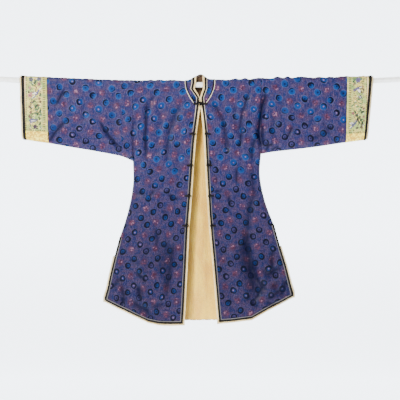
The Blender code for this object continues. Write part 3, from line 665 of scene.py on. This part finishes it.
def creaseField(x, z, creases):
    # how far the cloth is pushed in at each place, and the painted shade at the bottom of the crease
    depthSum = np.zeros(len(x))
    dark = np.zeros(len(x))
    for width, depth, darkness, *spots in creases:
        points = np.array(spots).reshape(-1, 2) * mm
        lengths = np.linalg.norm(np.diff(points, axis=0), axis=1)
        reach = 3.2 * width * mm
        near = np.where((x > points[:, 0].min() - reach) & (x < points[:, 0].max() + reach)
                        & (z > points[:, 1].min() - reach) & (z < points[:, 1].max() + reach))[0]
        if not len(near):
            continue
        bestAway = np.full(len(near), 9.0)
        bestAlong = np.zeros(len(near))
        travelled = 0
        for start, end, length in zip(points[:-1], points[1:], lengths):
            runX, runZ = (end - start) / length
            along = (x[near] - start[0]) * runX + (z[near] - start[1]) * runZ
            along = np.clip(along, 0, length)
            away = np.hypot(x[near] - start[0] - along * runX, z[near] - start[1] - along * runZ)
            closer = away < bestAway
            bestAway = np.where(closer, away, bestAway)
            bestAlong = np.where(closer, travelled + along, bestAlong)
            travelled += length
        part = bestAlong / lengths.sum()
        ends = smooth(part / clothSet["taper"]) * smooth((1 - part) / clothSet["taper"])
        across = bestAway / (width * mm)
        profile = np.exp(-across ** 2) - clothSet["ridge"] * np.exp(-(across - 2) ** 2)
        depthSum[near] += depth * mm * ends * profile
        shadow = 0.85 * np.exp(-(across * 1.6) ** 2) + 0.3 * np.exp(-(across * 0.75) ** 2)
        dark[near] = np.maximum(dark[near], darkness * ends * shadow)
    return depthSum, dark


def ripple(x, z, turn):
    # slight unevenness of cloth that hangs, in a few long waves
    waves = ((0.9, 0.11, 17, 0.5), (0.6, 0.31, -23, 0.35), (1.35, 0.2, 41, 0.3), (0.35, 1.1, 29, 0.3))
    total = np.zeros(len(x))
    for number, (acrossRate, downRate, rate, height) in enumerate(waves):
        total += height * np.sin((x * acrossRate + z * downRate) * abs(rate) * 3 + turn * 2.1 + number * 1.7)
    return total * 0.9 * mm


def drape(piece, paint=False):
    # lays the same creases into each layer of the cloth, so that the layers stay on each other
    mesh = piece.data
    places = readRows(mesh)
    x, y, z = places[:, 0].copy(), places[:, 1].copy(), places[:, 2].copy()
    rodZ = rodHeight(x)
    below = rodZ - z
    hanging = rising(below, "hangs")
    frontDepth, frontShade = creaseField(x, z, frontCreases)
    backDepth, backShade = creaseField(x, z, backCreases)
    front = y < 0
    push = np.where(front, frontDepth + ripple(x, z, 1), backDepth + ripple(x, z, 3))
    push *= hanging * rising(np.abs(y), "offPlane")
    places[:, 1] += np.where(front, push, -push)
    # gathers where the cloth turns over the rod: they only stand out
    overRod = falling(below, "gathers") * rising(np.abs(x), "besideNeck")
    swell = (np.sin(x / mm * 0.31 + np.sin(x / mm * 0.047) * 2.2) + 0.4 * np.sin(x / mm * 0.83)) * 0.5 + 0.5
    outward = swell * clothSet["pucker"] * overRod
    bunch = np.interp(x / mm, *topLift) * mm
    bunch *= 0.75 + 0.5 * (0.5 + 0.5 * np.sin(x / mm * 0.11 + np.sin(x / mm * 0.037) * 1.6))
    arch = neckArch["height"] * smooth(1 - np.abs(x) / neckArch["reach"]) * smooth((y + 8 * mm) / (8 * mm))
    places[:, 2] += (bunch + arch) * falling(below, "bunches")
    length = np.hypot(y, z - rodZ) + 1e-9
    places[:, 1] += outward * y / length
    places[:, 2] += outward * (z - rodZ) / length
    mesh.vertices.foreach_set("co", places.reshape(-1))
    # painted shade of the creases, kept on the mesh
    if paint:
        writeLayer(mesh, "crease", np.where(front, frontShade, backShade) * hanging)
    mesh.update()


def mapCut(piece):
    # the piece's own UV map: x across, and the way down the cloth from the rod's front, in metres
    mesh = piece.data
    layer = mesh.uv_layers.new(name="cut")
    places = readRows(mesh)
    corner = readWhole(mesh.loops, "vertex_index")
    totals = readWhole(mesh.polygons, "loop_total")
    owner = np.repeat(np.arange(len(totals)), totals)
    centreY = np.add.reduceat(places[corner, 1], readWhole(mesh.polygons, "loop_start")) / totals
    x, y, z = places[corner].T
    rise = z - rodHeight(x)
    turn = np.arctan2(np.maximum(rise, 0), -y)
    radius = rodLine["foldRadius"]
    down = np.where(rise < 0, np.where(centreY[owner] > 0, radius * math.pi - rise, rise), radius * turn)
    layer.data.foreach_set("uv", np.stack([x, down], axis=1).astype(np.float32).reshape(-1))


def layered(node, level, finish, paint, mapped):
    # a node's own cloth, merged, squared up, subdivided and draped
    choose(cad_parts[node])
    bpy.ops.object.duplicate()
    piece = bpy.context.active_object
    piece.name = node + "_cloth"
    piece.data.name = piece.name
    piece.parent = None
    for key in list(piece.keys()):
        del piece[key]
    bpy.ops.object.mode_set(mode="EDIT")
    bpy.ops.mesh.select_all(action="SELECT")
    bpy.ops.mesh.remove_doubles(threshold=clothSet["merge"])
    bpy.ops.mesh.tris_convert_to_quads(face_threshold=clothSet["squareTo"],
                                       shape_threshold=clothSet["squareTo"])
    bpy.ops.mesh.select_all(action="DESELECT")
    bpy.ops.mesh.edges_select_sharp(sharpness=clothSet["sharpFrom"])
    bpy.ops.transform.edge_crease(value=1)
    bpy.ops.object.mode_set(mode="OBJECT")
    modifier = piece.modifiers.new("cloth", "SUBSURF")
    modifier.levels = modifier.render_levels = level
    choose(piece)
    bpy.ops.object.modifier_apply(modifier="cloth")
    drape(piece, paint)
    if mapped:
        mapCut(piece)
    choose(piece)
    bpy.ops.object.shade_smooth_by_angle(angle=clothSet["smoothTo"])
    piece.data.materials.clear()
    piece.data.materials.append(finishes[finish])
    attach(piece, "root")
    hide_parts(node)
    return piece


# Each row makes a right and a left piece: levels, finish, slot, then for each piece the flat cut of what
# shows, in metres: width, length and, where it isn't a rectangle, its area. The back lining is one piece.
clothTable = {
    "body": (3, "silk_body", "silk", (0.383, 1.93, 0.560), (0.375, 1.92, 0.525)),
    "sleeve": (3, "silk_sleeve", "silk", (0.344, 0.65, 0.2085), (0.344, 0.61, 0.2073)),
    "yoke": (3, "silk_body", "silk", (0.053, 0.16, 0.0055), (0.053, 0.16, 0.0060)),
    "yoke_border": (3, "yoke_border_braid", "black_binding", (0.01, 0.24, 0.0022), (0.01, 0.24, 0.0022)),
    "edge_binding": (3, "black_braid", "black_binding", (0.01, 1.60, 0.0141), (0.01, 1.62, 0.0142)),
    "edge_piping": (2, "pale_piping", "pale_piping", (0.01, 1.59, 0.0065), (0.01, 1.60, 0.0066)),
    "back_hem_binding": (2, "black_braid", "black_binding", (0.01, 0.645, 0.0057), (0.01, 0.668, 0.0059)),
    "back_hem_piping": (2, "pale_piping", "pale_piping", (0.01, 0.65, 0.0027), (0.01, 0.675, 0.0028)),
    "back_lining": (3, "fleece_lining", "fleece", (0.645, 0.98, 0.358)),
    "front_lining": (3, "fleece_lip", "fleece", (0.255, 0.99, 0.0762), (0.255, 0.99, 0.0762)),
    "front_slit_fleece": (3, "fleece_edge", "fleece", (0.060, 0.23, 0.0130), (0.060, 0.25, 0.0139)),
    "back_slit_fleece": (3, "fleece_edge", "fleece", (0.060, 0.24, 0.0136), (0.060, 0.25, 0.0145)),
    "cuff_band": (3, "cuff_silk", "cuff_silk", (0.109, 0.53, 0.0568), (0.103, 0.52, 0.0503)),
    "cuff_binding": (3, "black_braid", "black_binding", (0.0145, 0.50, None), (0.0125, 0.495, None)),
    "cuff_fleece": (3, "fleece_edge", "fleece", (0.075, 0.52, 0.0384), (0.078, 0.50, 0.0384)),
}
cloths = {}
cuts = {}
for stem, (level, finish, slotName, *flats) in clothTable.items():
    for side, flat in zip(("_right", "_left") if len(flats) == 2 else ("",), flats):
        cloth = layered(stem + side, level, finish if finish in finishes else finish + side,
                        slotName == "silk", slotName in ("silk", "cuff_silk"))
        cloths[stem + side] = cloth
        cuts[stem + side] = flat
print("cloth laid:", sum(len(piece.data.polygons) for piece in cloths.values()), "faces")

# pale outer line of the yoke: how far each place of its border lies inside the outer edge, in mm
yokeSet = {"front": [(-75, 27), (-53, 42), (-35, 51), (-18, 58), (0, 61), (60, 61)],
           "back": [(-60, 47), (-56, 48), (-30, 58), (0, 61), (60, 61)], "backFoot": -56}
for side in ("right", "left"):
    border = cloths["yoke_border_" + side].data
    places = readRows(border) / mm
    inward = np.zeros(len(places))
    for rows, chosen in (("front", places[:, 1] < 0), ("back", places[:, 1] >= 0)):
        line = np.array(yokeSet[rows], float)
        away = np.full(len(places), 99.0)
        for start, step in zip(line[:-1], np.diff(line, axis=0)):
            offZ, offX = places[:, 2] - start[0], np.abs(places[:, 0]) - start[1]
            part = np.clip((offZ * step[0] + offX * step[1]) / (step ** 2).sum(), 0, 1)
            away = np.minimum(away, np.hypot(offZ - part * step[0], offX - part * step[1]))
        if rows == "back":
            away = np.minimum(away, np.maximum(places[:, 2] - yokeSet["backFoot"], 0))
        inward[chosen] = away[chosen]
    writeLayer(border, "inward", inward)

# painted shade of the lining: below the neck, beside the viewer's left edge of the opening, and in a few
# folds
# heights, and the x of that edge there, in mm
openingEdge = np.array([(-960, -66), (-723, -55), (-567, -47), (-451, -37), (-283, -26), (-143, -10),
                        (-94, -4)]).T
# x, lean, half width in mm, and strength of the painted shade of each fold
liningFolds = ((-8, 0.02, 5, 0.22), (14, -0.015, 7, 0.16), (32, 0.03, 4, 0.14), (-26, 0.0, 6, 0.12))
lining = cloths["back_lining"].data
x, y, z = readRows(lining).T
shade = smooth((z + 84 * mm) / (40 * mm)) * smooth((70 * mm - np.abs(x)) / (30 * mm))
fromEdge = x / mm - np.interp(z / mm, *openingEdge)
strip = smooth((30 - fromEdge) / 16) * smooth((fromEdge + 30) / 20)
shade = np.maximum(shade, strip * 0.55 * (y > 0))
for foldX, lean, foldWidth, depth in liningFolds:
    away = (x / mm - foldX - lean * z / mm) / foldWidth
    shade = np.maximum(shade, depth * np.exp(-away ** 2) * (0.6 + 0.4 * np.sin(z * 9 + foldX)))
# the side towards the silk is dark where the centre-back seam lets it show
seamShade = smooth((26 * mm - np.abs(x)) / (12 * mm)) * (readRows(lining, "normal")[:, 1] > 0.3)
writeLayer(lining, "shade", np.maximum(shade, seamShade * (z > -925 * mm)))


def fluff(piece, seed, height, hang):
    # small uneven locks, pushed away from the silk, and a foot that hangs ragged
    chance = np.random.default_rng(seed)
    spots = readRows(piece.data)
    count = len(spots)
    jitter = chance.uniform(0, 1, count) ** 1.5 * height
    spots[:, 1] += np.where(spots[:, 1] < 0, jitter, -jitter)
    spots[:, 0] += chance.uniform(-0.4, 0.4, count) * height
    spots[:, 2] += chance.uniform(-0.4, 0.4, count) * height
    foot = np.clip((spots[:, 2].min() + 7 * mm - spots[:, 2]) / (5 * mm), 0, 1)
    spots[:, 2] -= foot * chance.uniform(0, 1, count) ** 2 * hang
    piece.data.vertices.foreach_set("co", spots.reshape(-1))
    piece.data.update()


# height of the locks and how far the foot hangs
fluffSet = {"seed": 11, "lining": (0.8 * mm, 6 * mm), "edges": (1.3 * mm, 0)}
for number, node in enumerate(name for name in cloths if "fleece" in name or "lining" in name):
    fluff(cloths[node], fluffSet["seed"] + number,
          *fluffSet["lining" if node == "back_lining" else "edges"])


# one petal, copied for the embroidery
def newPetal():
    deselectAll()
    bpy.ops.mesh.primitive_uv_sphere_add(segments=10, ring_count=6, radius=1, location=(0, 0, 0))
    petal = bpy.context.active_object
    petal.name = "petal_stitch"
    bpy.ops.object.mode_set(mode="EDIT")
    bpy.ops.mesh.select_all(action="SELECT")
    bpy.ops.transform.resize(value=(1, 0.5, 0.22))
    shape = bmesh.from_edit_mesh(petal.data)
    for vertex in shape.verts:
        vertex.select_set(vertex.co.x > 0.4)
    shape.select_flush_mode()
    bpy.ops.transform.resize(value=(1, 0.55, 0.8), center_override=(0.4, 0, 0))
    bpy.ops.object.mode_set(mode="OBJECT")
    bpy.ops.object.transform_apply(location=True, rotation=True, scale=True)
    return petal


petal = newPetal()
petalPoints = np.array([vertex.co[:] for vertex in petal.data.vertices])
petalFaces = [list(face.vertices) for face in petal.data.polygons]
bpy.data.objects.remove(petal, do_unlink=True)

stitchSet = {"longer": 1.2 * mm, "wider": 1.45 * mm, "thick": 2.2 * mm, "knots": 150, "seed": 5, "top": 24}
threadColours = {
    "blue": (44, 66, 110), "lilac": (100, 84, 140), "pink": (176, 92, 84), "red": (128, 20, 16),
    "darkRed": (76, 14, 12), "orange": (160, 78, 24), "green": (44, 100, 32), "paleGreen": (92, 138, 66),
    "darkGreen": (22, 58, 26), "white": (216, 210, 198), "purple": (74, 30, 80), "grey": (92, 96, 122),
    "gold": (150, 116, 40), "brown": (84, 46, 18),
}


class Embroidery:
    # gathers petals for one cuff, each laid on the band's own surface
    def __init__(self, band, face):
        self.band = band
        self.face = face
        self.points = []
        self.faces = []
        self.shades = []

    def petal(self, x, z, length, width, angle, colour, lift=0.5):
        start = Vector((x * mm, self.face * 0.2, z * mm))
        hit, place, normal, _ = self.band.ray_cast(start, Vector((0, -self.face, 0)))
        if not hit:
            return
        turn = math.radians(angle)
        along = Vector((math.cos(turn), 0, math.sin(turn)))
        along = (along - normal * along.dot(normal)).normalized()
        across = normal.cross(along)
        first = len(self.points)
        for px, py, pz in petalPoints:
            spot = place + along * (px * length * stitchSet["longer"] / 2)
            spot += across * (py * width * stitchSet["wider"]) + normal * (pz * stitchSet["thick"] * lift)
            self.points.append(spot)
        self.faces += [[first + corner for corner in corners] for corners in petalFaces]
        self.shades += [tint(*threadColours[colour])] * len(petalPoints)

    def flower(self, x, z, size, count, colour, heart, turn=0):
        for number in range(count):
            angle = turn + 360 * number / count
            reach = size * 0.34
            self.petal(x + reach * math.cos(math.radians(angle)), z + reach * math.sin(math.radians(angle)),
                       size * 0.52, size * 0.34, angle, colour)
        self.petal(x, z, size * 0.3, size * 0.26, turn, heart, 0.8)

    def leaf(self, x, z, length, angle, colour, vein="darkGreen"):
        self.petal(x, z, length, length * 0.42, angle, colour)
        self.petal(x, z, length * 0.8, length * 0.07, angle, vein, 0.9)

    def stem(self, spots, colour="darkGreen", width=1.6):
        for start, end in zip(spots[:-1], spots[1:]):
            run = (end[0] - start[0], end[1] - start[1])
            length = math.hypot(*run)
            self.petal((start[0] + end[0]) / 2, (start[1] + end[1]) / 2, length * 1.15, width,
                       math.degrees(math.atan2(run[1], run[0])), colour, 0.6)

    def bird(self, x, z, size, angle, body, wing):
        turn = math.radians(angle)

        def spot(along, across):
            return (x + (along * math.cos(turn) - across * math.sin(turn)) * size,
                    z + (along * math.sin(turn) + across * math.cos(turn)) * size)

        self.petal(*spot(0, 0), size, size * 0.34, angle, body, 0.8)
        self.petal(*spot(0.55, 0.08), size * 0.32, size * 0.26, angle, body, 1.0)
        self.petal(*spot(0.76, 0.1), size * 0.2, size * 0.07, angle, "orange", 0.8)
        self.petal(*spot(-0.7, -0.04), size * 0.75, size * 0.12, angle + 6, "white", 0.8)
        self.petal(*spot(-0.66, -0.16), size * 0.7, size * 0.12, angle - 10, wing, 0.7)
        for feather in range(3):
            self.petal(*spot(-0.12 - feather * 0.14, 0.26 + feather * 0.05), size * 0.62, size * 0.15,
                       angle + 112 + feather * 14, wing if feather % 2 else "white", 0.7)

    def finish(self, name):
        mesh = bpy.data.meshes.new(name)
        mesh.from_pydata(self.points, [], self.faces)
        mesh.update()
        shades = mesh.attributes.new("threadShade", "FLOAT_COLOR", "POINT")
        shades.data.foreach_set("color", np.array(self.shades, np.float32).reshape(-1))
        piece = bpy.data.objects.new(name, mesh)
        bpy.context.scene.collection.objects.link(piece)
        choose(piece)
        bpy.ops.object.shade_smooth()
        mesh.materials.append(finishes["embroidery_threads"])
        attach(piece, "root")
        return piece


def stitchRightCuff(work):
    work.flower(-677, 20, 17, 5, "blue", "gold", 10)
    work.flower(-645, 22, 17, 5, "grey", "gold", 40)
    work.leaf(-660, 10, 16, 70, "green")
    work.leaf(-652, 16, 12, 30, "paleGreen")
    work.flower(-644, 2, 15, 5, "orange", "brown", 0)
    work.stem([(-662, 22), (-663, 4), (-657, -14), (-660, -34)])
    work.leaf(-672, 0, 13, 130, "paleGreen")
    work.flower(-682, -14, 10, 5, "pink", "gold", 20)
    work.flower(-681, -44, 17, 5, "pink", "darkRed", 15)
    work.flower(-674, -34, 9, 4, "pink", "red", 0)
    work.petal(-686, -30, 9, 5, 80, "darkRed")
    work.bird(-655, -36, 26, 44, "lilac", "grey")
    work.petal(-641, -18, 22, 3, 44, "white", 0.8)
    work.leaf(-640, -42, 13, 70, "green")
    work.leaf(-674, -72, 17, 205, "darkGreen", "gold")
    work.leaf(-664, -66, 12, 150, "green")
    work.flower(-644, -56, 9, 4, "red", "gold", 45)
    work.flower(-640, -70, 10, 5, "brown", "red", 10)
    work.flower(-648, -84, 9, 4, "darkRed", "pink", 0)
    for x, z in ((-683, -90), (-679, -112), (-683, -128)):
        work.flower(x, z, 10, 5, "darkRed", "pink", z)
        work.petal(x + 7, z - 7, 9, 4, -45, "green")
    work.stem([(-676, -80), (-677, -98), (-674, -118), (-678, -134)], "brown")
    # a great curling spray of leaves
    work.stem([(-664, -84), (-656, -96), (-648, -110), (-644, -126), (-650, -138)], "green", 2.4)
    spray = ((-656, -86, 60, 15), (-646, -94, 40, 17), (-640, -106, 70, 17), (-658, -102, 120, 15),
             (-652, -118, 140, 17), (-638, -120, 80, 17), (-644, -136, 100, 14), (-660, -114, 20, 12))
    for number, (x, z, angle, length) in enumerate(spray):
        work.leaf(x, z, length, angle, "paleGreen" if number % 2 else "green")
    for x, z, length in ((-680, -144, 14), (-670, -141, 16), (-662, -147, 14), (-655, -142, 12),
                         (-674, -150, 16)):
        work.petal(x, z, length, 6, 8, "lilac" if length > 14 else "grey")
    work.petal(-668, -146, 18, 3, 0, "white", 0.8)
    work.flower(-660, -170, 17, 5, "purple", "brown", 20)
    work.petal(-652, -177, 8, 4, -50, "darkRed")
    work.leaf(-641, -156, 15, 80, "green")
    work.leaf(-638, -172, 11, 95, "paleGreen")
    work.leaf(-680, -164, 11, 110, "paleGreen")
    work.flower(-681, -178, 8, 4, "gold", "red", 0)


def stitchLeftCuff(work):
    work.flower(634, 18, 20, 6, "lilac", "purple", 0)
    work.petal(622, 22, 14, 6, 20, "paleGreen")
    work.petal(616, 12, 12, 5, 60, "green")
    work.petal(648, 22, 14, 6, 160, "paleGreen")
    work.flower(617, 0, 8, 4, "gold", "red", 0)
    work.bird(628, -18, 22, 200, "lilac", "purple")
    work.flower(620, -22, 10, 5, "purple", "gold", 30)
    work.petal(637, -26, 15, 6, 130, "white", 0.8)
    for x, z, colour in ((652, -8, "red"), (655, -20, "brown"), (650, -16, "green"), (646, -30, "darkRed")):
        work.flower(x, z, 8, 4, colour, "gold", x)
    work.stem([(634, -30), (640, -42), (646, -54)], "brown")
    work.flower(642, -51, 14, 5, "grey", "white", 10)
    work.leaf(634, -60, 13, 160, "paleGreen")
    for x, z, angle in ((624, -72, 10), (640, -76, 170), (612, -84, 40), (632, -90, 0)):
        work.petal(x, z, 18, 4, angle, "paleGreen", 0.5)
    work.flower(656, -97, 9, 5, "red", "gold", 0)
    work.petal(649, -92, 8, 4, 20, "darkRed")
    work.leaf(652, -110, 15, 30, "darkGreen")
    work.leaf(643, -104, 11, 120, "green")
    work.flower(613, -116, 12, 5, "red", "pink", 0)
    work.leaf(622, -110, 13, 110, "green")
    work.stem([(616, -106), (626, -118), (634, -130), (646, -146), (652, -158)], "green", 2.2)
    spray = ((630, -122, 60), (640, -132, 40), (632, -140, 100), (646, -142, 20), (650, -156, 80),
             (638, -152, 120))
    for number, (x, z, angle) in enumerate(spray):
        work.leaf(x, z, 16, angle, "green" if number % 2 else "darkGreen")
    work.bird(618, -158, 24, 40, "grey", "lilac")
    work.petal(608, -172, 18, 4, 60, "paleGreen")
    work.flower(656, -130, 9, 5, "orange", "brown", 0)
    work.flower(657, -146, 8, 4, "red", "gold", 20)
    work.flower(647, -172, 11, 5, "darkRed", "gold", 0)
    work.flower(630, -174, 9, 5, "purple", "gold", 10)


def scatterKnots(work, left, right, foot, seed):
    # small seed stitches fill the ground between the motifs
    chance = random.Random(seed)
    colours = ["gold", "green", "paleGreen", "pink", "brown", "blue", "white", "red"]
    for _ in range(stitchSet["knots"]):
        x = chance.uniform(left, right)
        z = chance.uniform(foot, stitchSet["top"])
        colour = chance.choice(colours)
        work.petal(x, z, chance.uniform(3, 6), chance.uniform(1.4, 2.4), chance.uniform(0, 180), colour, 0.6)


embroidery = []
# the span of the worked ground: its two sides and its foot, in mm
for side, chart, span in (("right", stitchRightCuff, (-690, -634, -178)),
                          ("left", stitchLeftCuff, (610, 660, -166))):
    for face in (-1, 1):
        work = Embroidery(cloths["cuff_band_" + side], face)
        scatterKnots(work, *span, stitchSet["seed"] + face)
        chart(work)
        embroidery.append(work.finish("cuff_embroidery_%s_%s" % (side, "front" if face < 0 else "back")))
print("embroidery stitched:", sum(len(piece.data.polygons) for piece in embroidery), "faces")


# knots and loops of black cord
knotSet = {"ball": 5.4 * mm, "cord": 1.75 * mm, "inward": 5 * mm, "eye": 3.4 * mm, "eyeFromEnd": 12 * mm}


def laidCord(spots):
    # a round cord along a smooth path
    curve = bpy.data.curves.new("strand", "CURVE")
    curve.dimensions = "3D"
    curve.bevel_depth = knotSet["cord"] * 0.95
    curve.bevel_resolution = 3
    curve.use_fill_caps = True
    curve.resolution_u = 6
    line = curve.splines.new("NURBS")
    line.points.add(len(spots) - 1)
    for point, spot in zip(line.points, spots):
        point.co = (*spot, 1)
    line.use_endpoint_u = True
    line.order_u = 4
    piece = bpy.data.objects.new("strand", curve)
    bpy.context.scene.collection.objects.link(piece)
    choose(piece)
    bpy.ops.object.convert(target="MESH")
    return bpy.context.active_object


def joined(node, parts):
    # one corded piece in place of a node
    deselectAll()
    for part in parts:
        part.select_set(True)
    bpy.context.view_layer.objects.active = parts[0]
    bpy.ops.object.join()
    piece = bpy.context.active_object
    piece.name = node + "_cord"
    piece.data.name = piece.name
    bpy.ops.object.shade_smooth()
    piece.data.materials.clear()
    piece.data.materials.append(finishes["black_braid"])
    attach(piece, "root")
    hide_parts(node)


def knotBall(middle, radius, strand):
    # a button knot: one cord wound three ways round itself, about a core
    parts = []
    for turnX, turnY in ((0, 0), (math.pi / 2, 0.35), (0.5, math.pi / 2)):
        deselectAll()
        bpy.ops.mesh.primitive_torus_add(location=middle, rotation=(turnX, turnY, 0), major_segments=20,
                                         minor_segments=8, major_radius=radius - strand, minor_radius=strand)
        parts.append(bpy.context.active_object)
        bpy.ops.object.transform_apply(location=True, rotation=True, scale=True)
    deselectAll()
    bpy.ops.mesh.primitive_ico_sphere_add(subdivisions=2, radius=radius - strand, location=middle)
    parts.append(bpy.context.active_object)
    bpy.ops.object.transform_apply(location=True, rotation=True, scale=True)
    return parts


strand = knotSet["cord"]
for number in range(1, 6):
    low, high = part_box("knot_ball_%d" % number)
    tailLow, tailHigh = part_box("knot_tail_%d" % number)
    loopLow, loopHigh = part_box("knot_loop_%d" % number)
    middle = (low + high) / 2
    closedPair = number == 1
    ballAt = middle + Vector((0 if closedPair else knotSet["inward"], 0, 0))
    joined("knot_ball_%d" % number, knotBall(ballAt, knotSet["ball"], strand))
    # the tail: two strands, and a stitch across them beside the ball
    y = (tailLow.y + tailHigh.y) / 2
    z = middle.z
    start = ballAt.x
    end = tailHigh.x
    parts = []
    for rise in (-strand * 0.9, strand * 0.9):
        parts.append(laidCord([(start, y - 1 * mm, z + rise), (start + 5 * mm, y, z + rise),
                               ((start + end) / 2, y, z + rise), (end - 3 * mm, y, z + rise * 1.3),
                               (end, y, z + rise * 0.4)]))
    across = ((4, -0.5 * mm, -7), (3, -strand * 1.6, -3), (4, -strand * 1.6, 3), (5, -0.5 * mm, 7))
    parts.append(laidCord([(start + offX * mm, y + offY, z + offZ * mm) for offX, offY, offZ in across]))
    joined("knot_tail_%d" % number, parts)
    # the loop of the other edge: two strands, an eye, and the whipping that holds it
    y = loopHigh.y - strand
    out = loopLow.x
    if closedPair:
        eyeX, eyeY, eye = middle.x, loopLow.y + strand, knotSet["ball"] + strand
    else:
        eyeX, eyeY, eye = loopHigh.x - knotSet["eyeFromEnd"], y, knotSet["eye"]
    legs = [(out, strand * 0.5), (out + 4 * mm, strand * 0.95), (eyeX - eye * 2.2, strand * 0.95)]
    turns = [math.radians(150 - step * 37.5) for step in range(9)]
    parts = [laidCord([(legX, y, z + rise) for legX, rise in legs]
                      + [(eyeX + eye * math.cos(turn), eyeY, z + eye * math.sin(turn)) for turn in turns]
                      + [(legX, y, z - rise) for legX, rise in reversed(legs)])]
    if not closedPair:
        around = ((0.4 * mm, -6.5), (-strand * 1.7, -3), (-strand * 1.7, 3), (0.4 * mm, 6.5))
        for wrapX in (eyeX - 9 * mm, eyeX - 6.2 * mm):
            parts.append(laidCord([(wrapX, y + offY, z + offZ * mm) for offY, offZ in around]))
    joined("knot_loop_%d" % number, parts)

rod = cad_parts["display_rod"]
rod.data.materials.clear()
rod.data.materials.append(finishes["rod_paint"])
print("closures and rod ready")


# the flat cut of each cloth; the embroidery lies on its cuff band
for node, (width, length, area) in cuts.items():
    side = node.rsplit("_", 1)[1]
    worked = [piece for piece in embroidery if node.startswith("cuff_band") and side in piece.name]
print("sheets stated:", len(cuts))

print("finished")
